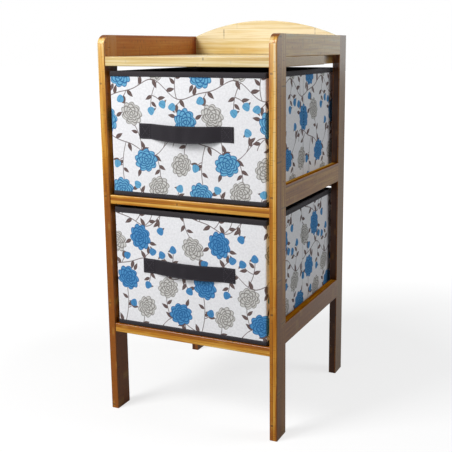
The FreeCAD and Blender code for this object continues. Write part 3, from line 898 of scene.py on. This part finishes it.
def soft_noise(seed, u, v, size, count=14):
    """Gentle ripples from -1 to 1: a sum of sine waves in random directions, whose
    lengths are near a given size."""
    draw = np.random.default_rng(seed)
    total = np.zeros(np.broadcast(u, v).shape)
    for _ in range(count):
        angle = draw.uniform(0, math.tau)
        length = size * draw.uniform(0.6, 1.9)
        phase = draw.uniform(0, math.tau)
        run = u * math.cos(angle) + v * math.sin(angle)
        total = total + np.sin(run * (math.tau / length) + phase)
    return total / math.sqrt(count) * 0.7


def shell(ring, profile, swell=None):
    """Stacks rings at the insets and heights of a profile; swell moves each sample
    outwards."""
    stack = []
    for index, (inset, height) in enumerate(profile):
        points, normals = ring.at(inset)
        if swell is not None:
            points = points + normals * swell[:, index][:, None]
        stack.append(np.insert(points, 2, height, axis=1))
    return np.stack(stack, axis=1)


# Drawers

COVER_THICK = 1.0 * MM
LINING_THICK = 0.6 * MM
TAPE_THICK = 0.8 * MM
WALL_THICK = 4.9 * MM
BOARD_CORNER = 4.0 * MM
# How cloth and tape turn in under a drawer
TURN = 3.0 * MM
LINING_TURN = 2.0 * MM
# Roll of a band's sewn edge
ROLL = 0.2 * MM
ROLL_HIGH = 1.2 * MM
# The rim's tape: height of its arch, where it is straight again, and its inside
ARCH_HIGH = 1.6 * MM
RIM_STRAIGHT = 4.0 * MM
RIM_INSIDE = 2.5 * MM
# The hem's tape: how far it goes under, and the inside of its fold
HEM_REACH = 9.0 * MM
HEM_INSIDE = 3.6 * MM
HEM_RISE = 2.2 * MM
HEM_STRAIGHT = 4.0 * MM
# From sample to sample round a drawer
SAMPLE = 4.0 * MM
LINING_SAMPLE = 6.0 * MM
BOARD_SAMPLE = 12.0 * MM
# The fold in a side wall, and the shoulders beside it
FOLD_GATHER = 0.85
FOLD_WIDE = 1.4 * MM
SHOULDER_OUT = 6.0 * MM
SHOULDER_WIDE = 4.0 * MM
SHOULDER_HIGH = 0.4 * MM
RIPPLE_LONG = 75.0 * MM
# Wandering of a band's lower edge
WANDER_LONG = 90.0 * MM
WANDER_HIGH = 0.22 * MM
STRAP_THICK = 2.0 * MM
STRAP_TAB = 25.0 * MM
STRAP_SAMPLES = 191
CREASE_LONG = 30.0 * MM
CREASE_HIGH = 1.1 * MM
# From a seam to the edge of its tape or webbing, and how far the seams on a strap stand
# out from it
TAPE_SEAM = 1.8 * MM
STRAP_SEAM = 3.0 * MM
SEAM_OUT = 0.05 * MM
# Seeds of the ripples
COVER_SEEDS = {"upper": 11, "lower": 23}
LINING_SEEDS = {"upper": 41, "lower": 57}
STRAP_SEEDS = {"upper": 3, "lower": 8}
RIM_SEED = 5
HEM_SEED = 6


def wall_share(ring):
    """How far each sample lies along its own side, from 0 at one corner to 1 at the next,
    and whether it lies on the left or right side."""
    x, y = ((ring.points - ring.low) / (ring.high - ring.low)).T
    on_side = np.abs(ring.normals[:, 0]) > np.abs(ring.normals[:, 1])
    return np.clip(np.where(on_side, y, x), 0, 1), on_side


def wall_swell(ring, heights, seed):
    """How far a cloth wall stands out at each sample and height. It swells as the product
    of two sines between its corners and between its hems, has gentle ripples that fade at
    its corners and hems, and is drawn in along the fold in the middle of each side."""
    drawer = bpy.context.scene.unit_drawer
    share, folded = (part[:, None] for part in wall_share(ring))
    height_share = (heights - ring.bottom) / (ring.top - ring.bottom)
    rise = np.sin(np.clip(height_share, 0, 1) * math.pi)
    hold = np.sin(share * math.pi) ** 0.5 * rise**0.5
    swell = np.sin(share * math.pi) * rise * drawer.bulge
    ripples = soft_noise(seed, ring.around[:-1, None], heights[None, :] * 0.7, RIPPLE_LONG)
    from_fold = (share - 0.5) * (ring.high[1] - ring.low[1])
    fold = np.exp(-((from_fold / FOLD_WIDE) ** 2)) * drawer.crease
    shoulder = np.exp(-((np.abs(from_fold) - SHOULDER_OUT) ** 2) / SHOULDER_WIDE**2)
    halves = np.abs(np.sin(share * math.tau)) * rise
    out = np.where(folded, halves * drawer.bulge * 0.8, swell) + ripples * drawer.ripple * hold
    return np.where(folded, out + (shoulder * SHOULDER_HIGH - fold) * hold, out)


def drawer_cover(level, material, floor_material):
    """The printed cover: a closed shell. Its profile goes from the middle of the inner
    floor out, up the inside, over the rim, down the outside and in under the floor. The
    print is drawn out a little so that a whole number of repeats goes round."""
    corner = bpy.context.scene.unit_drawer.corner
    ring = Ring(level + "_drawer_cover", corner, SAMPLE, FOLD_GATHER)
    bottom, top = ring.bottom, ring.top
    floor = bottom + COVER_THICK
    half = ring.half - TURN
    inside = [(half, floor), (half / 2, floor), (TURN + COVER_THICK, floor)]
    inside += [(COVER_THICK, floor + TURN), (COVER_THICK, top)]
    wall = pairs(0.0, np.arange(top, bottom + TURN, -SAMPLE))
    hem = quarter((0.0, bottom + TURN), (TURN, bottom), True)
    profile = np.concatenate([inside, wall, hem, [(half / 2, bottom), (half, bottom)]])
    swell = wall_swell(ring, profile[:, 1], COVER_SEEDS[level])
    index = np.arange(len(profile))
    under = index >= len(inside) + len(wall)
    outside = (index >= len(inside)) & ~under
    inner = np.minimum(swell + COVER_THICK / 2, 0.0) * ((index > 2) & ~under)
    grid = shell(ring, profile, np.where(outside, swell, inner))
    up = np.where(under, bottom - path_length(profile) * 0.2, profile[:, 1])
    pick = (under | (index < 4))[::-1].astype(int)[:-1]
    wide = bpy.context.scene.unit_cloth.tile_wide
    length = ring.around[-1]
    around = ring.around * (round(length / wide) * wide / length)
    materials = [material, floor_material]
    wraps = (True, False)
    return grid_piece(level + "_cover", grid[:, ::-1], around, up[::-1], wraps, materials, pick)


def drawer_lining(level, material):
    """The dark lining: a closed shell inside the boards, rippled on its inner face. Its
    profile goes from the middle of its underside out, up, over and back down inside."""
    ring = Ring(level + "_drawer_lining", TURN, LINING_SAMPLE, FOLD_GATHER)
    bottom, top = ring.bottom, ring.top
    floor = bottom + LINING_THICK
    half = ring.half - TURN
    outside = [(half, bottom), (half / 2, bottom), (LINING_TURN, bottom)]
    outside += [(0.0, bottom + LINING_TURN), (0.0, top)]
    inner_z = np.arange(floor + 2 * LINING_TURN, top - LINING_TURN, LINING_SAMPLE)
    wall = pairs(LINING_THICK, np.append(top, inner_z[::-1]))
    ground = [(LINING_THICK * 1.4, floor + LINING_TURN), (LINING_THICK + TURN, floor)]
    profile = np.concatenate([outside, wall, ground, [(half / 2, floor), (half, floor)]])
    swell = -np.abs(wall_swell(ring, profile[:, 1], LINING_SEEDS[level]))
    grid = shell(ring, profile, np.where(np.arange(len(profile)) >= len(outside), swell, 0.0))
    up = path_length(profile)
    return grid_piece(level + "_lining", grid, ring.around, up, (True, False), [material])


def binding_ring(name):
    """The ring of a binding, which lies on the cover's corners."""
    return Ring(name, bpy.context.scene.unit_drawer.corner + TAPE_THICK, SAMPLE)


def carried_band(name, ring, profile, material, seed):
    """A band: a closed profile carried round the ring, with its lower edge wandering by
    a small sine sum."""
    u = ring.around[:-1]
    drift = soft_noise(seed, u, np.zeros_like(u), WANDER_LONG) * WANDER_HIGH
    grid = shell(ring, profile, np.repeat(drift[:, None], len(profile), axis=1))
    from_top = np.abs(profile[:, 1] - profile[:, 1].max())
    grid[:, :, 2] += (drift * 0.8)[:, None] * (from_top > RIM_STRAIGHT)
    up = path_length(closed(profile))
    return grid_piece(name, grid, ring.around, up, (True, True), [material])


def rim_binding(level, material):
    """Tape folded over the rim: outside, over the top in a half round, and inside."""
    ring = binding_ring(level + "_drawer_rim_binding")
    across = WALL_THICK + TAPE_THICK
    edge, top = ring.bottom, ring.top
    arch = quarter((0.0, top - ARCH_HIGH), (across / 2, top), True)
    down = quarter((across / 2, top), (across, top - ARCH_HIGH), False)[1:]
    inner = across - TAPE_THICK * 0.9
    first = [(ROLL, edge), (-ROLL, edge + ROLL_HIGH), (0.0, top - RIM_STRAIGHT)]
    last = [(across, edge + MM), (inner, edge), (inner, top - RIM_INSIDE)]
    last += [(TAPE_THICK, top - RIM_INSIDE), (TAPE_THICK, edge)]
    profile = np.concatenate([first, arch, down, last])[::-1]
    return carried_band(level + "_rim_binding", ring, profile, material, RIM_SEED)


def hem_binding(level, material):
    """Tape folded under the lower edge in a quarter round, and back inside."""
    ring = binding_ring(level + "_drawer_hem_binding")
    bottom, top = ring.bottom, ring.top
    floor = bottom + TAPE_THICK
    first = [(ROLL, top), (-ROLL, top - ROLL_HIGH)]
    fold = quarter((0.0, bottom + TURN), (TURN, bottom), True)
    last = [(HEM_REACH, bottom), (HEM_REACH, floor), (HEM_INSIDE, floor)]
    last += [(TAPE_THICK * 1.6, bottom + HEM_RISE), (TAPE_THICK, bottom + HEM_STRAIGHT)]
    profile = np.concatenate([first, fold, last, [(TAPE_THICK, top)]])
    return carried_band(level + "_hem_binding", ring, profile, material, HEM_SEED)


def base_board(level, material):
    """The loose board: a flat slab with rounded edges, wrapped in dark cloth."""
    ring = Ring(level + "_drawer_base_board", BOARD_CORNER, BOARD_SAMPLE)
    bottom, top = ring.bottom, ring.top
    half = ring.half - BOARD_CORNER
    edge = (top - bottom) / 2
    middle = bottom + edge
    under = [(half, bottom), (half / 2, bottom)]
    out = quarter((edge, bottom), (0.0, middle), False, 5)
    back = quarter((0.0, middle), (edge, top), True, 5)[1:]
    profile = np.concatenate([under, out, back, pairs(np.linspace(edge * 2, half, 12), top)])
    up = path_length(profile)
    grid = shell(ring, profile)
    return grid_piece(level + "_base_board", grid, ring.around, up, (True, False), [material])


class StrapShape:
    """The strap's middle line: straight where it is sewn, and between the sewn ends an
    arc that stands out from the wall and a curve near a parabola that hangs down."""

    def __init__(self, level):
        drawer = bpy.context.scene.unit_drawer
        low, high = node_box(level + "_drawer_strap")
        self.sag = drawer.upper_sag if level == "upper" else drawer.lower_sag
        self.half = (high[2] - low[2]) / 2
        self.middle_z = (high[2] + low[2]) / 2
        self.back_y = high[1]
        self.bow = high[1] - low[1] - STRAP_THICK
        self.end = (high[0] - low[0]) / 2
        self.free = self.end - STRAP_TAB

    def at(self, x):
        """How far the middle line stands out from the wall and hangs down at x."""
        share = np.clip(np.abs(x) / self.free, 0, 1)
        radius = (self.free**2 + self.bow**2) / (2 * self.bow)
        reach = np.sqrt(radius**2 - (share * self.free) ** 2) - (radius - self.bow)
        return np.maximum(reach, 0.0), self.sag * (1 - share**2) ** 1.2


def strap_section(half, edge):
    """Height and reach round the strap's section: flat faces, and half rounds of the
    edge's radius above and below."""
    turn = np.linspace(-math.pi / 2, math.pi / 2, 7)
    flat = np.linspace(-half + edge, half - edge, 15)
    top = half - edge + edge * np.cos(turn[::-1])
    foot = -half + edge - edge * np.cos(turn)
    up = np.concatenate([flat, top, flat[::-1][1:-1], foot])
    faces = np.full(len(flat), -edge), np.full(len(flat) - 2, edge)
    rounds = -edge * np.sin(turn[::-1]), -edge * np.sin(turn)
    return up, np.concatenate([faces[0], rounds[0], faces[1], rounds[1]])


def strap_handle(level, material):
    """A webbing strap: its section carried along the middle line. Creases are ripples in
    its reach that differ between its upper and lower edge."""
    shape = StrapShape(level)
    x = np.linspace(-shape.end, shape.end, STRAP_SAMPLES)
    reach, drop = (part[:, None] for part in shape.at(x))
    up, out = strap_section(shape.half, STRAP_THICK / 2)
    free = np.clip(1 - np.abs(x) / shape.free, 0, 1)[:, None] ** 0.5
    crease = soft_noise(STRAP_SEEDS[level], x[:, None], up * 0.35, CREASE_LONG)
    crease = crease * CREASE_HIGH * free
    base_y = shape.back_y - STRAP_THICK / 2
    grid = np.empty((len(x), len(up), 3))
    grid[:, :, 0] = x[:, None]
    grid[:, :, 1] = np.minimum(base_y - reach - crease, base_y) + out
    grid[:, :, 2] = shape.middle_z + up - drop * (1 - 0.5 * up / shape.half)
    along = path_length(closed(pairs(up, out)))
    return grid_piece(level + "_strap", grid, x, along, (False, True), [material])


def stitches(name, places, along, outward, material):
    """Stitches at given places, each lying along a direction on a surface that faces
    outward. A stitch is a six-sided bead that arches up and dives under at both ends."""
    drawer = bpy.context.scene.unit_drawer
    angle = np.arange(6) * math.tau / 6
    thin = np.array([0.35, 0.85, 1.0, 1.0, 0.85, 0.35])[:, None] * 0.5
    rise = np.array([-0.55, 0.1, 0.35, 0.35, 0.1, -0.55])[:, None]
    run = np.repeat(np.linspace(-0.5, 0.5, 6)[:, None], 6, axis=1)
    base = np.stack([run, thin * np.cos(angle), rise + thin * np.sin(angle)], axis=2)
    base = base.reshape(-1, 3) * (drawer.stitch_long, drawer.thread_thick, drawer.thread_thick)
    axes = np.stack([along, np.cross(outward, along), outward], axis=1)
    grid = places[:, None, :] + base @ axes
    ends = np.array([[5, 4, 3, 2], [2, 1, 0, 5], [30, 31, 32, 33], [33, 34, 35, 30]])
    faces = np.concatenate([grid_faces(6, 6, False, True)[0], ends])
    faces = (faces + np.arange(len(places))[:, None, None] * len(base)).reshape(-1, 4)
    return build_mesh(name, grid, faces, np.zeros(faces.size * 2), [material])


def row_round(ring, height, inset, pitch):
    """Places, directions and normals of stitches in a row round a ring."""
    points, normals = ring.at(inset)
    run = path_length(closed(points))
    count = int(run[-1] / pitch)
    at = (np.arange(count) + 0.5) * run[-1] / count
    x, y = (np.interp(at, run, part) for part in closed(points).T)
    nx, ny = (np.interp(at, run, part) for part in closed(normals).T)
    size = np.hypot(nx, ny)
    level = np.zeros(count)
    along = np.stack([-ny / size, nx / size, level], axis=1)
    outward = np.stack([nx / size, ny / size, level], axis=1)
    return np.stack([x, y, level + height], axis=1), along, outward


def row_line(start, end, pitch):
    """The same for a straight row on the drawer's front."""
    start, end = np.array(start), np.array(end)
    length = np.linalg.norm(end - start)
    count = max(2, int(length / pitch))
    share = (np.arange(count) + 0.5) / count
    along = np.repeat([(end - start) / length], count, axis=0)
    outward = np.repeat([[0.0, -1.0, 0.0]], count, axis=0)
    return start + (end - start) * share[:, None], along, outward


def drawer_stitching(level, material):
    """Rows of stitches: one along each binding, and a square with crossing lines at each
    sewn end of the strap."""
    pitch = bpy.context.scene.unit_drawer.stitch_pitch
    ring = binding_ring(level + "_drawer_rim_binding")
    hem_top = node_box(level + "_drawer_hem_binding")[1][2]
    rows = [
        row_round(ring, ring.bottom + TAPE_SEAM, -ROLL, pitch),
        row_round(ring, hem_top - TAPE_SEAM, -ROLL, pitch),
    ]
    shape = StrapShape(level)
    front = shape.back_y - STRAP_THICK - SEAM_OUT
    top = shape.middle_z + shape.half - STRAP_SEAM
    bottom = shape.middle_z - shape.half + STRAP_SEAM
    for side in (-1, 1):
        outer = side * (shape.end - STRAP_SEAM)
        inner = side * (shape.free + STRAP_SEAM)
        corners = [(outer, top), (outer, bottom), (inner, bottom), (inner, top)]
        lines = list(zip(corners, corners[1:] + corners[:1]))
        lines += [(corners[0], corners[2]), (corners[1], corners[3])]
        for (x1, z1), (x2, z2) in lines:
            rows.append(row_line((x1, front, z1), (x2, front, z2), pitch))
    places, along, outward = (np.concatenate(part) for part in zip(*rows))
    return stitches(level + "_stitching", places, along, outward, material)


def settle(piece, level, slot, *replaced):
    """Makes a piece ride on its drawer and stand for its nodes."""
    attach(piece, level + "_drawer")
    if replaced:
        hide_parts(*[level + "_drawer_" + name for name in replaced])


# Operators


class UNIT_OT_frame_finish(bpy.types.Operator):
    """Gives the sticks, the shelf and the back board their bamboo"""

    bl_idname = "unit.frame_finish"
    bl_label = "Frame finish"

    def execute(self, context):
        wood = context.scene.unit_wood
        sticks = (wood.honey, wood.straw, wood.amber)
        boards = (wood.cream, wood.ivory, wood.sand)
        # Painted shade: darker stick tones for the rear stiles, which stand in the drawers' shadow
        shaded_sticks = (wood.amber, wood.honey, wood.knuckle)
        upright, level = (2, 1, 0), (1, 2, 0)
        # Side and kind: axes, tones, drift, offset, and the share and tone of painted shade on the
        # outer face
        looks = {
            ("left", "front_stile"): (upright, sticks, 3.4, -0.33, 0.50, wood.skin),
            ("right", "front_stile"): (upright, sticks, 1.0, 0.14, 0.50, wood.skin),
        }
        for side in ("left", "right"):
            # The rear stiles' darker offset is painted shade too
            looks[side, "rear_stile"] = (upright, shaded_sticks, 0.5, -0.30, 0.85, wood.rear_outer_shade)
            looks[side, "rail"] = (level, sticks, 0.6, -0.04, 0.48, wood.skin)
        for (side, kind), look in looks.items():
            material = bamboo("bamboo_" + side + "_" + kind, *look, -1 if side == "left" else 1)
            for node_name in NODES:
                if node_name.startswith(side) and node_name.endswith(kind):
                    dress(node_name, material)
        dress("runner", bamboo("bamboo_runner", level, sticks))
        crosswise = bamboo("bamboo_crossbar", (0, 1, 2), sticks, drift=0.5, offset=-0.04)
        dress("crossbar", crosswise)
        dress("top_shelf", bamboo("bamboo_shelf", (0, 1, 2), boards, offset=0.12))
        board = bamboo("bamboo_board", (0, 2, 1), boards, 0.8, offset=0.05, foot=0.6855)
        dress("arched_back_board", board)
        return {"FINISHED"}


class UNIT_OT_fittings(bpy.types.Operator):
    """Gives dowels, pins, cam bolts, cams and boards their finish"""

    bl_idname = "unit.fittings"
    bl_label = "Fittings"

    def execute(self, context):
        dress(("dowels", "pins"), beech("beech"))
        dress("cam_bolts", metal("plated_steel", STEEL, 0.35, 1500))
        dress("cams", metal("die_cast_zinc", ZINC, 0.5, 900))
        dress("stiffener", pressed_board("pressed_board"))
        return {"FINISHED"}


class UNIT_OT_covers(bpy.types.Operator):
    """Makes the printed covers of both drawers"""

    bl_idname = "unit.covers"
    bl_label = "Covers"

    def execute(self, context):
        floor_cloth = dark_cloth("floor_cloth", context.scene.unit_cloth.dark, FLOOR_DIMPLE)
        for level, layout in LAYOUTS.items():
            material = printed_cloth(level + "_print", *layout)
            settle(drawer_cover(level, material, floor_cloth), level, "printed_cloth", "cover")
        return {"FINISHED"}


class UNIT_OT_linings(bpy.types.Operator):
    """Makes the linings and the wrapped base boards"""

    bl_idname = "unit.linings"
    bl_label = "Linings"

    def execute(self, context):
        cloth = context.scene.unit_cloth
        lining = dark_cloth("lining_cloth", cloth.dark, LINING_DIMPLE)
        wrapped = dark_cloth("base_cloth", cloth.dark, BASE_DIMPLE)
        for level in LEVELS:
            settle(drawer_lining(level, lining), level, "lining_cloth", "lining")
            settle(base_board(level, wrapped), level, "base_board_cloth", "base_board")
        return {"FINISHED"}


class UNIT_OT_bindings(bpy.types.Operator):
    """Makes the rim and hem bindings and all stitching"""

    bl_idname = "unit.bindings"
    bl_label = "Bindings"

    def execute(self, context):
        cloth = context.scene.unit_cloth
        tape = ribbed_tape("binding_tape", cloth.tape, TAPE_RIB)
        yarn = thread("sewing_thread", cloth.thread)
        for level in LEVELS:
            settle(rim_binding(level, tape), level, "binding_tape", "rim_binding")
            settle(hem_binding(level, tape), level, "binding_tape", "hem_binding")
            settle(drawer_stitching(level, yarn), level, "binding_tape")
        return {"FINISHED"}


class UNIT_OT_straps(bpy.types.Operator):
    """Makes the webbing strap of each drawer"""

    bl_idname = "unit.straps"
    bl_label = "Straps"

    def execute(self, context):
        cloth = context.scene.unit_cloth
        webbing = ribbed_tape("strap_webbing", cloth.webbing, WEBBING_RIB)
        for level in LEVELS:
            settle(strap_handle(level, webbing), level, "webbing", "strap")
        return {"FINISHED"}


def area_light(name, power, place, target, size, colour):
    """A square light that points at a target."""
    data = bpy.data.lights.new(name, "AREA")
    data.shape = "RECTANGLE"
    data.size = data.size_y = size
    data.energy = power
    data.color = colour
    lamp = bpy.data.objects.new(name, data)
    lamp.location = place
    direction = Vector(target) - Vector(place)
    lamp.rotation_euler = direction.to_track_quat("-Z", "Y").to_euler()
    bpy.context.scene.collection.objects.link(lamp)


# The backdrop's colour where gloss mirrors it
MIRRORED = (0.88, 0.96, 1.0)
# The floor's glow: how strong it is beside the unit and how much more far away, where it
# starts to grow, and how strong gloss mirrors it
GLOW = 0.74
GLOW_MORE = 0.30
GLOW_FROM = 0.5
GLOW_MIRRORED = 0.36
FLOOR_HALF = 20.0
# What the lights point at
CHEST = (0.0, -0.1, 0.45)
FOOT = (0.0, -0.1, 0.30)
# Lights: their setting, place, target, size and colour
LIGHTS = (
    ("key", (-1.1, -1.6, 2.1), CHEST, 1.0, (1.0, 1.0, 1.0)),
    ("panel", (-1.05, -2.6, 1.2), CHEST, 1.3, (1.0, 1.0, 1.0)),
    ("fill", (2.3, 0.7, 1.9), FOOT, 1.2, (0.95, 0.98, 1.0)),
)


def studio_world(ambient, mirrored):
    """A plain backdrop: white where the camera looks or looks through, brighter where
    gloss mirrors it, and a weak even light otherwise."""
    world = bpy.data.worlds.new("studio_world")
    shader = Shader(emptied(world))
    glossy = shader.ray("Glossy")
    seen = shader.ray("Camera").larger(shader.ray("Transmission"))
    strength = seen.larger(glossy * mirrored)
    tint = shader.mix(glossy, (1, 1, 1), MIRRORED)
    backdrop = shader.made("ShaderNodeBackground", tint, strength.larger(ambient))
    output = shader.add("ShaderNodeOutputWorld")
    shader.feed(output.inputs[0], backdrop)
    bpy.context.scene.world = world


def floor_finish(colour):
    """A pale floor. For the camera a glow lifts it to white, fully at a distance from the
    unit and less beside it, so that its shadow stays."""
    material = bpy.data.materials.new("studio_floor")
    shader = Shader(emptied(material))
    matte = shader.made("ShaderNodeBsdfDiffuse", (*colour, 1))
    far = (shader.length(shader.place()) - GLOW_FROM).held()
    lift = shader.ray("Camera") * (far * GLOW_MORE + GLOW)
    behind = (shader.split(shader.place())[1] * 0.7 + 0.4).held()
    mirror = shader.ray("Glossy") * behind * GLOW_MIRRORED
    glow = shader.made("ShaderNodeEmission", (1, 1, 1, 1), lift.larger(mirror))
    output = shader.add("ShaderNodeOutputMaterial")
    shader.feed(output.inputs[0], shader.made("ShaderNodeAddShader", matte, glow))
    return material


# The camera stands right of the unit's middle, in front of it and a little under its top
CAMERA_RIGHT = 0.6851
CAMERA_BEFORE = 1.2132
CAMERA_HIGH = 0.7052
CAMERA_YAW = 0.4118
CAMERA_PITCH = 0.1892
CAMERA_ROLL = -0.0030
FOCAL_PIXELS = 786.5
IMAGE_PIXELS = 452
MIDDLE_COLUMN = 265.0
MIDDLE_ROW = 196.0
SENSOR_MM = 36.0


def stand_camera():
    """A camera that is turned left by the yaw and down by the pitch, and whose picture is
    turned by the roll: three turns, one after the other."""
    stile_low, _ = node_box("left_front_stile")
    place = Vector((CAMERA_RIGHT, stile_low[1] - CAMERA_BEFORE, CAMERA_HIGH))
    turned = Matrix.Rotation(CAMERA_YAW, 4, "Z")
    turned = turned @ Matrix.Rotation(math.pi / 2 - CAMERA_PITCH, 4, "X")
    turned = turned @ Matrix.Rotation(CAMERA_ROLL, 4, "Z")
    data = bpy.data.cameras.new("studio_camera")
    data.sensor_fit = "HORIZONTAL"
    data.sensor_width = SENSOR_MM
    data.lens = FOCAL_PIXELS * SENSOR_MM / IMAGE_PIXELS
    data.shift_x = (IMAGE_PIXELS / 2 - MIDDLE_COLUMN) / IMAGE_PIXELS
    data.shift_y = (MIDDLE_ROW - IMAGE_PIXELS / 2) / IMAGE_PIXELS
    data.clip_start = 0.01
    camera = bpy.data.objects.new("studio_camera", data)
    camera.matrix_world = Matrix.Translation(place) @ turned
    bpy.context.scene.collection.objects.link(camera)
    bpy.context.scene.camera = camera


class UNIT_OT_stage(bpy.types.Operator):
    """Makes the floor, the lights and the camera"""

    bl_idname = "unit.stage"
    bl_label = "Stage"

    def execute(self, context):
        scene = context.scene
        stage = scene.unit_stage
        half = FLOOR_HALF
        corners = [(-half, -half, 0), (half, -half, 0), (half, half, 0), (-half, half, 0)]
        floor = bpy.data.meshes.new("studio_floor")
        floor.from_pydata(corners, [], [(0, 1, 2, 3)])
        floor.materials.append(floor_finish(stage.floor))
        ground = bpy.data.objects.new("studio_floor", floor)
        scene.collection.objects.link(ground)

        studio_world(stage.ambient, stage.mirrored)
        for name, *where in LIGHTS:
            area_light(name + "_light", getattr(stage, name), *where)
        stand_camera()
        scene.view_settings.view_transform = "Standard"
        return {"FINISHED"}


class UNIT_PT_panel(bpy.types.Panel):
    """Lists the steps and the settings"""

    bl_idname = "UNIT_PT_panel"
    bl_label = "Drawer unit"
    bl_space_type = "VIEW_3D"
    bl_region_type = "UI"
    bl_category = "Drawer unit"

    def draw(self, context):
        for step in STEPS:
            self.layout.operator(step.bl_idname)
        for group, holder in SETTINGS.items():
            box = self.layout.box()
            for name in holder.__annotations__:
                box.prop(getattr(context.scene, group), name)


STEPS = (
    UNIT_OT_frame_finish,
    UNIT_OT_fittings,
    UNIT_OT_covers,
    UNIT_OT_linings,
    UNIT_OT_bindings,
    UNIT_OT_straps,
    UNIT_OT_stage,
)
SETTINGS = {
    "unit_wood": WoodSettings,
    "unit_cloth": ClothSettings,
    "unit_drawer": DrawerSettings,
    "unit_stage": StageSettings,
}


def register():
    for group, holder in SETTINGS.items():
        bpy.utils.register_class(holder)
        setattr(bpy.types.Scene, group, PointerProperty(type=holder))
    for kind in (*STEPS, UNIT_PT_panel):
        bpy.utils.register_class(kind)


def unregister():
    for kind in reversed((*STEPS, UNIT_PT_panel)):
        bpy.utils.unregister_class(kind)
    for group, holder in SETTINGS.items():
        delattr(bpy.types.Scene, group)
        bpy.utils.unregister_class(holder)


def main():
    register()
    bpy.ops.unit.frame_finish()
    bpy.ops.unit.fittings()
    bpy.ops.unit.covers()
    bpy.ops.unit.linings()
    bpy.ops.unit.bindings()
    bpy.ops.unit.straps()
    bpy.ops.unit.stage()
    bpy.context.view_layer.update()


if __name__ == "__main__":
    main()
